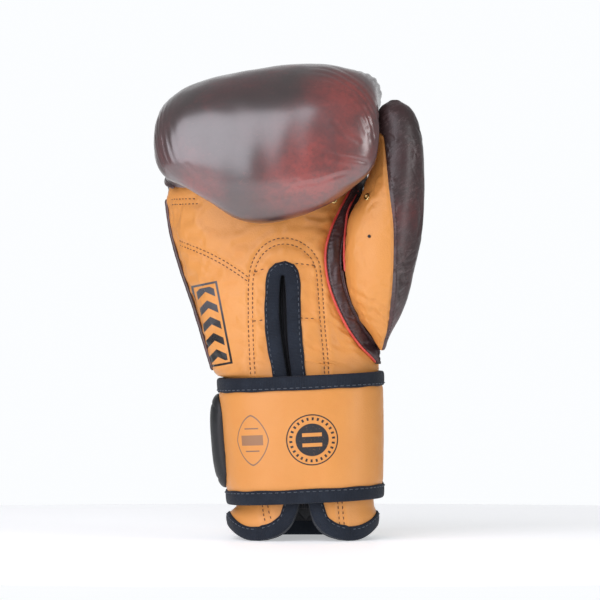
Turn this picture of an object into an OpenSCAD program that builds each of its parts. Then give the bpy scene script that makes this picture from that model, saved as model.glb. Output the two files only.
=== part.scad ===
// Boxing glove for the right hand, with a hook-and-loop wrist strap.
// The glove stands on its cuff: +Z runs from the wrist to the knuckles, the palm faces -Y and the thumb lies on +X.
// The origin is the centre of the cuff's mouth, on the plane that the cuff stands on.

/* [Leather and padding] */
// Thickness of the outer leather
leather_t = 1.8; // [1.4:0.1:2.2]
// Thickness of the fabric lining
lining_t = 1.2; // [0.8:0.1:1.6]
// Air between layers that lie on each other
layer_gap = 0.2; // [0.15:0.05:0.25]
// Air between the lining and the padding
lining_gap = 1; // [0.8:0.1:1.2]
// Air between the leather and the padding
foam_gap = 0.5; // [0.4:0.1:0.8]
// Air between pieces that move against each other
running_gap = 0.5; // [0.4:0.1:0.8]

/* [Cuff and slit] */
// Thickness of the cuff wall, from leather to lining
wall_t = 9; // [8:0.5:10]
// Thickness of the binding tape
tape_t = 1; // [0.8:0.1:1.2]
// Width of tape that shows beside the slit and along the hem
tape_w = 8; // [6:0.5:10]
// How far the hem rises at the two sides of the wrist
hem_rise = 8; // [4:1:10]

/* [Strap] */
// Height of the strap between its bound edges
strap_h = 80; // [70:1:84]
// Height of the strap's lower edge above the hem
strap_z = 24; // [22:1:26]
// Thickness of the strap
strap_t = 3.5; // [3:0.1:4]
// Rise of the strap from the little-finger side to the thumb side, as a slope
strap_lean = 0.045; // [0:0.005:0.06]
// Thickness of the closure patch at its crown
patch_t = 8; // [5:1:9]

/* [Fist] */
// Height of the fold line that the fingers curl around
fold_z = 228; // [226:1:230]
// Distance of the fold line from the wrist's centre line
fold_y = -32; // [-33:0.5:-31]
// Rise of the knuckles towards the thumb, as a slope
lean = 0.12; // [0.08:0.01:0.14]
// Radius of the grip bar
grip_r = 7; // [5:0.5:8]
// Share of the padding's thickness that the outer, firmer layer takes
firm_share = 0.55; // [0.4:0.05:0.7]

/* [Thumb] */
// Radius of the mouth of the pocket that the thumb goes into
pocket_r = 10.5; // [9:0.5:11]

/* [Hidden] */

tan_leather = [0.86, 0.52, 0.2];
dark_leather = [0.27, 0.1, 0.09];
navy_tape = [0.1, 0.13, 0.18];
red_cord = [0.8, 0.12, 0.12];
foam = [0.85, 0.83, 0.76];
fabric = [0.2, 0.2, 0.22];

grid = 8;
cuff_top = 103;
seam_ulnar = 184;
seam_thumb = -12;
ring_n = 28;
strap_start = 35;
hinge_palm = -42;
hinge_tail = -138;
strap_end = -300;

// Hand compartment: height, little-finger edge, thumb edge, palm face, back face, squareness, squareness beside the thumb
hand = [
    [0, -45.4, 49, -39, 42, 2.5, 2.5],
    [12, -45.2, 49, -38.6, 42, 2.5, 2.5],
    [21, -40.4, 47.4, -37.4, 41.2, 2.5, 2.5],
    [30, -39.6, 46.9, -37, 41, 2.5, 2.5],
    [60, -42.4, 46.8, -36.5, 41, 2.5, 2.5],
    [103, -46.4, 47, -36, 42, 2.5, 2.4],
    [112, -54.5, 47.5, -35.6, 43.5, 2.5, 2.2],
    [125, -59.5, 49, -35, 46, 2.4, 2],
    [150, -67, 47.8, -33, 50, 2.4, 2],
    [178, -75.5, 45, -31, 55, 2.4, 2],
    [205, -82, 43, -29.5, 59, 2.4, 2],
    [228, -85, 43, -29, 60, 2.4, 2.2]
];
// Space for the hand, in the same columns: an even wall up to the wrist, then more padding on the back
hollow = concat(
    [for (row = hand) if (row[0] <= 103)
        [row[0], row[1] + wall_t, row[2] - wall_t, row[3] + wall_t, row[4] - wall_t, row[5], row[6]]],
    [
        [125, -47, 36, -26, 28, 2.4, 2.2],
        [150, -52, 34, -24, 22, 2.4, 2.2],
        [178, -56, 30, -22, 17, 2.4, 2.2],
        [205, -59, 27, -20.5, 15, 2.4, 2.2],
        [228, -60, 26, -20, 14, 2.4, 2.2]
    ]
);
// Inner face of the strap, in the same columns
wrap = [
    [20, -41.8, 48.9, -40.3, 45.2, 2.7, 2.7],
    [106, -48.6, 48.9, -40.3, 45.4, 2.7, 2.7]
];
// Fist: turn about the fold line, root radius, crown radius, little-finger edge, thumb edge, squareness
fist = [
    [0, 3, 92, -85, 43, 2.5],
    [30, 3, 90, -87, 43.5, 2.6],
    [60, 3, 81, -89, 45, 2.7],
    [90, 3, 72, -91, 48, 2.8],
    [120, 3, 62.5, -91.5, 49, 2.8],
    [150, 3, 51, -88, 49, 2.6],
    [170, 3, 44, -80, 48, 2.4],
    [190, 3, 39, -69, 42, 2.3],
    [210, 3, 34, -56, 29, 2.2],
    [228, 3, 29, -44, 8, 2.1],
    [240, 4, 24, -36, -6, 2]
];
// Space for the fingers, in the same columns
curl = [
    [0, 12, 46, -60, 26, 2.4],
    [45, 8, 43, -62, 27, 2.4],
    [90, 7, 38, -64, 29, 2.4],
    [135, 7, 33, -64, 30, 2.4],
    [180, 8, 27, -56, 30, 2.3],
    [205, 10, 22, -44, 18, 2.2]
];
// Thumb: height, left edge, right edge, palm face, back face
thumb = [
    [121, 50, 54, -23, -17],
    [130, 44.5, 58, -31, -11],
    [140, 37.8, 63.5, -37, -7],
    [155, 31.5, 69, -43, -4],
    [172, 28.8, 72.5, -46, -2],
    [190, 31, 75.5, -47, -1],
    [205, 38, 77.3, -47, -1],
    [220, 45.3, 78, -46, -1],
    [235, 50.2, 77.6, -44.5, -2],
    [250, 51, 76.5, -43, -3],
    [262, 51.8, 73.8, -41, -6],
    [272, 54, 69, -36.5, -10],
    [278.5, 58.5, 63.5, -29, -18]
];
// Route of the thumb's pocket, from the hand compartment to the thumb's tip, and how much it narrows
pocket = [
    [0, 12, -1, 140, 0], [1, 31, -11, 152, 0], [2, 44, -18, 170, 0], [3, 53, -23, 192, 0.5],
    [4, 60, -24.5, 215, 1], [5, 63.5, -23.5, 238, 1.6], [6, 63.6, -22.5, 254, 2.5]
];
// Edges of the gusset between palm and thumb: height, palm-side edge, thumb-side edge
gusset = [
    [116, 44, 49], [122, 38, 48.2], [133, 30, 40.5], [149, 22, 32], [164, 17.2, 27.6], [180, 15.8, 27.2],
    [193, 19, 30.6], [205, 25, 36.6], [215, 31, 41.4], [226, 36.5, 45.6]
];
// Seam between the thumb's two leathers: height, place
thumb_seam = [[121, 52], [136, 56.4], [152, 58.6], [183, 59], [215, 56.5], [246, 54.5], [271, 55], [280, 58]];
// Opening of the slit between its bound edges: height, left edge, right edge
slit = [
    [0, -28, 33], [2, -21.5, 28], [5, -16.5, 24.5], [10, -11, 19.5], [16, -5.8, 13], [24, -1.6, 6],
    [45, -3, 1.2], [75, -5.6, -2.2], [103, -8, -5.2], [125, -11.6, -7.6], [145, -13.4, -8.4], [160, -12.8, -9],
    [167, -12.1, -9.7]
];
slit_top = [-10.9, 167];
slit_top_r = 1.2;

// Cubic interpolation of column k at station s in a table
function slope(tab, i, k) =
    let (a = tab[max(i - 1, 0)], b = tab[min(i + 1, len(tab) - 1)]) (b[k] - a[k]) / (b[0] - a[0]);
function row_at(tab, s, i = 0) = i >= len(tab) - 2 || s < tab[i + 1][0] ? i : row_at(tab, s, i + 1);
function at(tab, s, k) =
    let (
        i = row_at(tab, s), a = tab[i], b = tab[i + 1], w = b[0] - a[0], t = min(1, max(0, (s - a[0]) / w)),
        ma = slope(tab, i, k) * w, mb = slope(tab, i + 1, k) * w
    )
    a[k] * (1 + 2 * t) * (1 - t) ^ 2 + ma * t * (1 - t) ^ 2 + b[k] * t ^ 2 * (3 - 2 * t) + mb * t ^ 2 * (t - 1);
function ease(t) = let (u = min(1, max(0, t))) u * u * (3 - 2 * u);
function power(v, n) = sign(v) * pow(abs(v), 2 / n);
function steps(a, b, n) = [for (i = [0 : n]) a + (b - a) * i / n];
function backwards(list) = [for (i = [len(list) - 1 : -1 : 0]) list[i]];

// Height that a level of the hand takes above x, because the knuckles rise towards the thumb
function tilt(x, z) = lean * x * ease((z - cuff_top) / (fold_z - cuff_top));
// Height of the hem round the wrist, and the lift that it gives to the lowest levels
function hem(a) = hem_rise * pow(max(0, (abs(cos(a)) - 0.6) / 0.4), 2);
function lift(z, a) = z < 20 ? (hem(a) + tape_t + layer_gap) * (1 - z / 20) : 0;

// A point of a body with quarter-ellipse corners, at height z and direction a, moved inwards by inset
function around(tab, z, a, inset = 0) =
    let (
        l = at(tab, z, 1), r = at(tab, z, 2), f = at(tab, z, 3), b = at(tab, z, 4),
        n = cos(a) > 0 && sin(a) < 0 ? at(tab, z, 6) : at(tab, z, 5),
        x = (l + r) / 2 + power(cos(a), n) * ((r - l) / 2 - inset),
        y = (f + b) / 2 + power(sin(a), n) * ((b - f) / 2 - inset)
    )
    [x, y, z + tilt(x, z) + lift(z, a)];
// Direction at which the palm face of that body passes x
function direction_of(tab, z, x) =
    let (
        l = at(tab, z, 1), r = at(tab, z, 2), u = min(1, max(-1, (2 * x - l - r) / (r - l))),
        n = u > 0 ? at(tab, z, 6) : at(tab, z, 5)
    )
    u > 0 ? 360 - acos(pow(u, n / 2)) : 180 + acos(pow(-u, n / 2));
function palm_y(x, z, inset = 0) = around(hand, z, direction_of(hand, z, x), inset)[1];

// A closed solid through rings that all have the same even number of points. Each four-sided facet is split along its
// shorter diagonal, so that the facets of nested layers lie parallel.
module skin(rings, loop = false) {
    n = len(rings[0]);
    m = len(rings);
    points = [for (r = rings) each r];
    sides = [
        for (i = [0 : m - (loop ? 1 : 2)], j = [0 : n - 1])
            let (
                a = i * n + j, b = i * n + (j + 1) % n, c = (i + 1) % m * n + (j + 1) % n, d = (i + 1) % m * n + j,
                along_ac = norm(points[a] - points[c]) <= norm(points[b] - points[d])
            )
            each along_ac ? [[a, c, b], [a, d, c]] : [[a, d, b], [b, d, c]]
    ];
    caps = [
        for (j = [0 : n / 2 - 2])
            let (a = j, b = j + 1, c = n - 2 - j, d = n - 1 - j, e = (m - 1) * n)
            each [[a, b, c], [a, c, d], [e + a, e + c, e + b], [e + a, e + d, e + c]]
    ];
    polyhedron(points = points, faces = concat(sides, loop ? [] : caps));
}

// A panel of the hand compartment between two surfaces, with a list of directions for each level
module panel(levels, directions, inner, outer) {
    skin([
        for (i = [0 : len(levels) - 1])
            let (z = levels[i], angles = directions[i])
            concat(
                [for (a = angles) around(outer[0], z, a, outer[1])],
                [for (a = backwards(angles)) around(inner[0], z, a, inner[1])]
            )
    ]);
}

// A closed wall between two surfaces
module tube(levels, inner, outer) {
    angles = [0 : grid : 360 - grid];
    skin(loop = true, rings = concat(
        [for (z = levels) [for (a = angles) around(outer[0], z, a, outer[1])]],
        [for (z = backwards(levels)) [for (a = angles) around(inner[0], z, a, inner[1])]]
    ));
}

// Directions between two edges on the grid that all layers share, so that their facets lie parallel
function on_grid(from, to) =
    concat([from], [for (a = [ceil(from / grid + 0.2) * grid : grid : to - 0.2 * grid]) a], [to]);
function same(levels, value) = [for (z = levels) value];

// Edges of the palm panel and the back panel beside the thumb, between which the gusset and the thumb lie
function gusset_edge(z, side) =
    z < gusset[0][0] ? 360 : min(359, direction_of(hand, z, at(gusset, z, side)));
function back_edge(z) = z < gusset[0][0] ? 1 : seam_thumb;
palm_levels = [cuff_top, 109, 117, 125, 138, 155, 175, 193, 210, fold_z - running_gap];
cuff_levels = [0, 14, 21, 30, 60, 98, cuff_top];
palm_angles = [for (z = palm_levels) steps(seam_ulnar, gusset_edge(z, 1), 22)];
back_angles = [for (z = palm_levels) steps(back_edge(z), seam_ulnar - 1.5, 18)];
side_angles = [for (z = palm_levels) if (z > gusset[0][0]) steps(gusset_edge(z, 2) + 2, 359 + seam_thumb, 8)];
side_levels = [for (z = palm_levels) if (z > gusset[0][0]) z];

// The slit's opening as a cutter for the palm side of the wall, widened by grow
module slit_cut(grow) {
    for (i = [0 : len(slit) - 2])
        hull()
            for (row = [slit[i], slit[i + 1]], side = [1, 2])
                translate([row[side], -16, row[0] - (row[0] == 0 ? 3 : 0)])
                    rotate([90, 0, 0])
                        cylinder(h = 44, r = grow, $fn = 8);
}

// The thumb's pocket as a chain of balls, widened by grow
module pocket_chain(grow) {
    for (i = [0 : 8])
        hull()
            for (s = [i, i + 1] * 6 / 9)
                translate([at(pocket, s, 1), at(pocket, s, 2), at(pocket, s, 3)])
                    sphere(r = pocket_r - at(pocket, s, 4) + grow, $fn = 14);
}

// Hand compartment

module palm_leather() {
    color(tan_leather)
        difference() {
            panel(concat(cuff_levels, [for (i = [1 : len(palm_levels) - 1]) palm_levels[i]]),
                concat(same(cuff_levels, palm_angles[0]), [for (i = [1 : len(palm_levels) - 1]) palm_angles[i]]),
                [hand, leather_t], [hand, 0]);
            slit_cut(tape_t + foam_gap);
            palm_eyelet_place()
                cylinder(h = 12, r = eyelet_r, center = true, $fn = 16);
        }
}

module back_leather() {
    color(dark_leather)
        panel(palm_levels, back_angles, [hand, leather_t], [hand, 0]);
}

// Leather of the hand compartment that the thumb lies against, with the way into the thumb
module side_leather() {
    color(dark_leather)
        difference() {
            panel(side_levels, side_angles, [hand, leather_t], [hand, 0]);
            pocket_chain(lining_t + layer_gap);
        }
}

module cuff_back_leather() {
    levels = concat([for (i = [0 : len(cuff_levels) - 2]) cuff_levels[i]], [cuff_top - layer_gap]);
    color(tan_leather)
        panel(levels, same(levels, on_grid(0.5, seam_ulnar - 1.5)), [hand, leather_t], [hand, 0]);
}

// Rolled seam that joins palm and back along the little-finger side
module side_welt() {
    levels = [cuff_top + 8, 125, 150, 178, 205, fold_z - 2];
    color(dark_leather)
        skin([
            for (z = levels)
                let (p = around(hand, z, seam_ulnar - 0.75))
                [for (t = [0 : 45 : 315]) p + [-1.4 + 1.2 * cos(t), 1.2 * sin(t), 0]]
        ]);
}

module palm_foam() {
    color(foam)
        difference() {
            panel(palm_levels, palm_angles, [hollow, -lining_t - lining_gap], [hand, leather_t + foam_gap]);
            slit_cut(tape_t + foam_gap);
            pocket_chain(lining_t + layer_gap);
        }
}

// Padding under the gusset and the side leather
module side_foam() {
    color(foam)
        difference() {
            panel(side_levels, [for (z = side_levels) steps(gusset_edge(z, 1) + 1, 357 + seam_thumb, 10)],
                [hollow, -lining_t - lining_gap], [hand, leather_t + foam_gap]);
            pocket_chain(lining_t + layer_gap);
        }
}

module back_foam() {
    color(foam)
        panel(palm_levels, back_angles, [hollow, -lining_t - lining_gap], [hand, leather_t + foam_gap]);
}

module cuff_foam() {
    levels = concat([for (i = [0 : len(cuff_levels) - 2]) cuff_levels[i]], [cuff_top - layer_gap]);
    color(foam)
        difference() {
            tube(levels, [hollow, -lining_t - lining_gap], [hand, leather_t + foam_gap]);
            slit_cut(tape_t + foam_gap);
        }
}

module hand_lining() {
    color(fabric)
        difference() {
            tube([0, 14, 21, 30, 60, cuff_top, 113, 125, 150, 190, fold_z - running_gap],
                [hollow, 0], [hollow, -lining_t]);
            slit_cut(tape_t + foam_gap);
            pocket_chain(lining_t);
        }
}

// Elastic panel that closes the slit from inside
module slit_gusset() {
    levels = [20, 30, 60, cuff_top, 125, 150, 174];
    near = tape_t + lining_slack + foam_gap + layer_gap;
    color(navy_tape)
        panel(levels,
            [for (z = levels)
                let (middle = (at(slit, z, 1) + at(slit, z, 2)) / 2)
                steps(direction_of(hollow, z, middle - 14), direction_of(hollow, z, middle + 14), 8)],
            [hollow, near + 1.2], [hollow, near]);
}

// A U of tape round an edge: across the wall from its inner face, and from the edge into the wall up to each reach
function tape_profile(wall, reaches) =
    let (o = tape_t + layer_gap, g = layer_gap)
    concat(
        [for (r = reaches) [-o, r]], [[-o, -tape_t], [wall + o, -tape_t]], [for (r = backwards(reaches)) [wall + o, r]],
        [for (r = reaches) [wall + g, r]], [[wall + g, 0], [-g, 0]], [for (r = backwards(reaches)) [-g, r]]
    );

lining_slack = 0.5;

// Level of the wall that lies at height z over the hem in direction a
function level_at(z, a) = let (k = hem(a) + tape_t + layer_gap) max(0, z < 20 ? (z - k) / (1 - k / 20) : z);

module slit_binding() {
    left = [for (row = slit) if (row[0] < slit_top[1]) [row[1], row[0]]];
    right = [for (row = slit) if (row[0] < slit_top[1]) [row[2], row[0]]];
    over = [for (t = [180 : -30 : 0]) slit_top + slit_top_r * [cos(t), sin(t)]];
    path = concat(left, over, backwards(right));
    last = len(path) - 1;
    color(navy_tape)
        skin([
            for (i = [0 : last])
                let (
                    p = path[i], q = path[max(i - 1, 0)], r = path[min(i + 1, last)], t = (r - q) / norm(r - q),
                    side = i == 0 || i == last ? [0, 1] : [-t[1], t[0]]
                )
                [for (c = tape_profile(wall_t, [tape_w, tape_w / 2]))
                    let (
                        x = p[0] + side[0] * (c[1] + tape_t), z = p[1] + side[1] * (c[1] + tape_t),
                        level = level_at(z, 270), a = direction_of(hand, level, x),
                        q = around(hand, level, a, wall_t - c[0] + (c[0] < 0 ? lining_slack : 0))
                    )
                    [q[0], q[1], z + tilt(x, level)]]
        ]);
}

module hem_binding() {
    from = direction_of(hand, 0, slit[0][2] + 0.8) - 360;
    to = direction_of(hand, 0, slit[0][1] - 0.8);
    color(navy_tape)
        skin([
            for (a = on_grid(from, to))
                [for (c = tape_profile(wall_t, [tape_w, tape_w / 2]))
                    let (
                        z = hem(a) + tape_t + c[1],
                        p = around(hand, level_at(z, a), a, wall_t - c[0] + (c[0] < 0 ? lining_slack : 0))
                    )
                    [p[0], p[1], z]]
        ]);
}

// A thin patch on the back of the cuff, between two directions and two heights
module loop_patch() {
    levels = [30, 60, 98];
    color(fabric)
        skin([
            for (a = [72 : grid : 144])
                concat(
                    [for (z = levels) around(hand, z, a, -layer_gap - 0.1)],
                    [for (z = backwards(levels)) around(hand, z, a, -layer_gap - 1.3)]
                )
        ]);
}

// Strap

// A point of the strap: direction a, offset d outwards from its inner face, height h above its lower edge
function strap_point(a, d, h) =
    let (z = strap_z + h, p = around(wrap, z, a, -d)) [p[0], p[1], z + strap_lean * p[0]];
module strap_band(from, to, profile, n) {
    skin([for (a = steps(from, to, n)) [for (c = profile) strap_point(a, c[0], c[1])]]);
}
strip_profile = [[0, 1], [0, strap_h - 1], [strap_t, strap_h - 1], [strap_t, 1]];
// Tape round the strap's lower edge; the upper one is its mirror image
function edge_profile(up) = [
    for (c = tape_profile(strap_t, [tape_w]))
        [c[0], up ? strap_h - 1 + layer_gap - c[1] : 1 - layer_gap + c[1]]
];
module strap_leather(from, to, n) {
    color(tan_leather)
        strap_band(to, from, strip_profile, n);
}
module strap_edges(from, to, n) {
    color(navy_tape) {
        strap_band(to, from, backwards(edge_profile(false)), n);
        strap_band(to, from, edge_profile(true), n);
    }
}

joint_slack = 0.35;
module strap_root_leather() strap_leather(strap_start, hinge_palm + joint_slack, 8);
module strap_root_bindings() strap_edges(strap_start, hinge_palm + joint_slack, 8);
module strap_palm_leather() strap_leather(hinge_palm - joint_slack, hinge_tail + joint_slack, 12);
module strap_palm_bindings() strap_edges(hinge_palm - joint_slack, hinge_tail + joint_slack, 12);
module strap_tail_leather() strap_leather(hinge_tail - joint_slack, strap_end, 16);
module strap_tail_bindings() {
    strap_edges(hinge_tail - joint_slack, strap_end, 16);
    color(navy_tape)
        skin([
            for (h = [tape_w + 2, strap_h / 2, strap_h - tape_w - 2])
                [for (c = [[-1.15, 0], [-1.15, 1.6], [strap_t + 1.15, 1.6], [strap_t + 1.15, 0]])
                    strap_point(strap_end - 0.3 - c[1], c[0], h)]
        ]);
}

// Moulded patch on the strap's outer face, crowned in the middle
module closure_patch() {
    h0 = 9.8;
    h1 = strap_h - h0;
    middle = (h0 + h1) / 2;
    color("#15171a")
        skin([
            for (a = steps(-222, -146, 12))
                let (w = pow(max(0, 1 - pow(abs(a + 184) / 38, 4)), 0.5), half = (h1 - h0) / 2 * (0.55 + 0.45 * w))
                concat(
                    [for (u = [-1 : 0.25 : 1]) strap_point(a, strap_t + layer_gap, middle + half * u)],
                    [for (u = [1 : -0.25 : -1])
                        strap_point(a, strap_t + 1 + (patch_t - 1) * w * sqrt(1.0001 - pow(abs(u), 3)), middle + half * u)]
                )
        ]);
}

module hook_patch() {
    color("#202226")
        strap_band(-286, -214, [[-1.1, 12], [-1.1, 68], [-layer_gap, 68], [-layer_gap, 12]], 8);
}

// Thumb

thumb_n = 2.2;
function thumb_point(z, a, inset) =
    let (
        l = at(thumb, z, 1), r = at(thumb, z, 2), f = at(thumb, z, 3), b = at(thumb, z, 4),
        n = cos(a) < 0 && sin(a) > 0 ? 1.05 : thumb_n,
        ax = max(0.6, (r - l) / 2 - inset), ay = max(0.6, (b - f) / 2 - inset)
    )
    [(l + r) / 2 + power(cos(a), n) * ax, (f + b) / 2 + power(sin(a), n) * ay, z];
module thumb_solid(inset) {
    z0 = thumb[0][0];
    z1 = thumb[len(thumb) - 1][0];
    levels = [z0, 126, 138, 155, 172, 190, 205, 220, 235, 250, 262, 272, z1];
    skin([
        for (z = levels)
            let (h = z0 + inset + (z - z0) * (z1 - z0 - 2 * inset) / (z1 - z0))
            [for (i = [0 : ring_n - 1]) let (p = thumb_point(z, 360 * i / ring_n, inset)) [p[0], p[1], h]]
    ]);
}
module thumb_shell() {
    difference() {
        thumb_solid(0);
        thumb_solid(leather_t);
        pocket_chain(lining_t);
    }
}
// The half of space on the palm side of the thumb's seam, pulled back by gap
module inner_side(gap) {
    heights = [for (p = thumb_seam) p[0]];
    rotate([90, 0, 0])
        translate([0, 0, 23 + gap])
            linear_extrude(height = 40)
                polygon(concat([[0, 282], [0, 119]], [for (z = heights) [at(thumb_seam, z, 1) - gap, z]]));
}
module thumb_inner_leather() {
    color(tan_leather)
        difference() {
            intersection() {
                thumb_shell();
                inner_side(layer_gap);
            }
            thumb_eyelet_places()
                cylinder(h = 12, r = eyelet_r, center = true, $fn = 16);
        }
}
module thumb_outer_leather() {
    color(dark_leather)
        difference() {
            thumb_shell();
            inner_side(0);
        }
}
module thumb_foam() {
    color(foam)
        difference() {
            thumb_solid(leather_t + layer_gap);
            pocket_chain(lining_t + layer_gap);
            thumb_eyelet_places()
                cylinder(h = 12, r = eyelet_r + 0.5, center = true, $fn = 16);
        }
}
module thumb_lining() {
    color(fabric)
        intersection() {
            difference() {
                pocket_chain(lining_t);
                pocket_chain(0);
            }
            thumb_solid(leather_t + 2 * layer_gap);
        }
}

// Gusset strip between palm and thumb, with a piped edge on each side

gusset_levels = [118, 126, 133, 141, 149, 157, 164, 172, 180, 187, 193, 199, 205, 212, 219, 226];
// The thumb-side edge stands forward of the palm by gusset_step
gusset_step = 3.5;
function gusset_point(z, side) =
    let (x = at(gusset, z, side))
    [x, palm_y(min(x, at(hand, z, 2) - 1), z) - (side == 1 ? 0 : gusset_step), z + tilt(x, z)];
// Direction outwards from the glove at an edge of the gusset
function gusset_out(z, side) =
    let (x = at(gusset, z, side), s = side == 1 ? palm_y(x + 0.5, z) - palm_y(x - 0.5, z) : 0) [s, -1, 0] / norm([s, 1]);
module thumb_gusset() {
    section = [
        [0.12, 0.3], [0.35, 1.3], [0.62, 1.3], [0.86, 0.3],
        [0.86, -1.1], [0.62, -0.1], [0.35, -0.1], [0.12, -1.1]
    ];
    color(dark_leather)
        skin([
            for (z = gusset_levels)
                let (p = gusset_point(z, 1), q = gusset_point(z, 2), out = gusset_out(z, 1))
                [for (c = section) p + (q - p) * c[0] + out * c[1]]
        ]);
}
module piping(side, shift, r = 0.8) {
    color(red_cord)
        skin([
            for (z = gusset_levels)
                let (p = gusset_point(z, side) + gusset_out(z, side) * (r + 0.3))
                [for (t = [0 : 45 : 315]) p + [shift + r * cos(t), r * sin(t), 0]]
        ]);
}
module palm_piping() piping(1, 0);
module thumb_piping() piping(2, -0.2);

// Brass vent eyelets

eyelet_r = 1.6;
module palm_eyelet_place() {
    translate([21.4, palm_y(21.4, 213), 213 + tilt(21.4, 213)])
        rotate([90, 0, 12])
            children();
}
// Places on the thumb: height and direction
module thumb_eyelet_places() {
    for (place = [[214, 216], [192, 232]])
        translate(thumb_point(place[0], place[1], 0))
            rotate([90, 0, thumb_facing(place[0], place[1]) - 270])
                children();
}
// Direction that the thumb's surface faces
function thumb_facing(z, a) =
    let (
        ax = (at(thumb, z, 2) - at(thumb, z, 1)) / 2, ay = (at(thumb, z, 4) - at(thumb, z, 3)) / 2,
        k = 2 * (thumb_n - 1) / thumb_n
    )
    360 + atan2(sign(sin(a)) * pow(abs(sin(a)), k) / ay, sign(cos(a)) * pow(abs(cos(a)), k) / ax);
module eyelet() {
    rotate_extrude($fn = 24)
        polygon([[0.8, -2.2], [1.45, -2.2], [1.45, 0.5], [2.4, 0.5], [2.4, 0.8], [1.9, 1.1], [0.8, 1.1]]);
}
module palm_eyelet() {
    color("goldenrod")
        palm_eyelet_place()
            translate([0, 0, 0.6])
                eyelet();
}
module thumb_eyelets() {
    color("goldenrod")
        thumb_eyelet_places()
            translate([0, 0, 0.8])
                eyelet();
}

// Fist

// A point of the fist: turn about the fold line, direction t in the cross-section, moved inwards by inset
function fist_point(tab, turn, t, inset = 0) =
    let (
        r0 = at(tab, turn, 1), r1 = at(tab, turn, 2), l = at(tab, turn, 3), r = at(tab, turn, 4), n = at(tab, turn, 5),
        x = (l + r) / 2 + power(cos(t), n) * ((r - l) / 2 - inset),
        q = (r0 + r1) / 2 + power(sin(t), n) * ((r1 - r0) / 2 - inset)
    )
    [x, fold_y + q * cos(turn), fold_z + lean * x + q * sin(turn)];
function mixed(turn, t, share) =
    fist_point(fist, turn, t, leather_t + foam_gap) * (1 - share)
    + fist_point(curl, min(turn, 205), t, -lining_t - 2 * layer_gap) * share;
turns = [0, 20, 40, 60, 80, 100, 120, 140, 160, 180, 200, 215, 228, 240];
directions = [for (i = [0 : ring_n - 1]) 360 * i / ring_n];
function layer(list, share) = [for (turn = list) [for (t = directions) mixed(turn, t, share)]];

module fist_leather() {
    color(dark_leather)
        skin(concat(
            [for (turn = backwards(turns)) [for (t = directions) fist_point(fist, min(turn, 236), t, leather_t)]],
            [for (turn = turns) [for (t = directions) fist_point(fist, turn, t)]]
        ));
}
// The softer inner layers turn in coarser steps
inner_turns = [0, 30, 60, 90, 120, 150, 180, 200];
module knuckle_foam_outer() {
    color(foam)
        skin(concat(
            layer(concat([206], backwards(inner_turns)), firm_share),
            layer([for (turn = turns) if (turn < 236) turn], 0)
        ));
}
module knuckle_foam_inner() {
    color("#c9c4b4")
        skin(concat(
            layer(concat([205], backwards(inner_turns)), 1),
            layer(concat(inner_turns, [205.5]), firm_share + 0.03)
        ));
}
module finger_lining() {
    color(fabric)
        skin(concat(
            [for (turn = concat([203], backwards(inner_turns))) [for (t = directions) fist_point(curl, turn, t)]],
            [for (turn = concat(inner_turns, [204.5])) [for (t = directions) fist_point(curl, turn, t, -lining_t)]]
        ));
}
module grip_bar() {
    length = 54;
    middle = -17;
    color(fabric)
        translate([middle, fold_y + 12, fold_z + lean * middle + 15])
            rotate([0, 90 - atan(lean), 0])
                cylinder(h = length, r = grip_r, center = true, $fn = 32);
}

palm_leather();
back_leather();
cuff_back_leather();
side_leather();
side_welt();
palm_foam();
side_foam();
back_foam();
cuff_foam();
hand_lining();
slit_gusset();
slit_binding();
hem_binding();
loop_patch();
strap_root_leather();
strap_root_bindings();
strap_palm_leather();
strap_palm_bindings();
strap_tail_leather();
strap_tail_bindings();
closure_patch();
hook_patch();
thumb_gusset();
palm_piping();
thumb_piping();
palm_eyelet();
thumb_eyelets();
fist_leather();
knuckle_foam_outer();
knuckle_foam_inner();
finger_lining();
grip_bar();
thumb_outer_leather();
thumb_inner_leather();
thumb_foam();
thumb_lining();
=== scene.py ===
import math
import bmesh
import bpy
import numpy as np
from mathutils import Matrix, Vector
from mathutils.bvhtree import BVHTree


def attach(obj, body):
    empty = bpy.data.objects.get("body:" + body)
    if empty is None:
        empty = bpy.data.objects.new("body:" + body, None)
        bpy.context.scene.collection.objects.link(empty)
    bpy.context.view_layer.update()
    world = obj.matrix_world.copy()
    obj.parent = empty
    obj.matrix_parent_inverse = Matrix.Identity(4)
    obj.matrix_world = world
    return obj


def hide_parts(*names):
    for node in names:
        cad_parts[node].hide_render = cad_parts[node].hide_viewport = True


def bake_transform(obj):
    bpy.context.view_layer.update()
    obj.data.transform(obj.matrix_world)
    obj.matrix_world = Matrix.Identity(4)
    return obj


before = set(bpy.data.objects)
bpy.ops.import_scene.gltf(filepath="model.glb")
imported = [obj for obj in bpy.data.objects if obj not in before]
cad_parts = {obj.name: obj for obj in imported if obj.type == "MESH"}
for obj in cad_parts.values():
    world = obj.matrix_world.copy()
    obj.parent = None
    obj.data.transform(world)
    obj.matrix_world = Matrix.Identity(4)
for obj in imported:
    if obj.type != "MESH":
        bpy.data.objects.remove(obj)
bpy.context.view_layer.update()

rng = np.random.default_rng(7)

# ------------------------------------------------------ section tables of the design, in millimetres
LEAN, FOLD_Z, FOLD_Y, CUFF_TOP = 0.12, 228.0, -32.0, 103.0
WALL, TAPE_T, TAPE_W, GAP, HEM_RISE = 9.0, 1.0, 8.0, 0.2, 8.0
STRAP_H, STRAP_Z, STRAP_T, STRAP_LEAN = 80.0, 24.0, 3.5, 0.045
HAND_TOP, SEAM_SIDE = 227.4, 183.25
THUMB_FOOT, THUMB_TIP, THUMB_BACK = 121.0, 277.4, 166.0
FOLD_TURN, PAD_TURN, PAD_END = 17.0, 14.0, 240.0
STRAP_CORNER = -90.0
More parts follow.
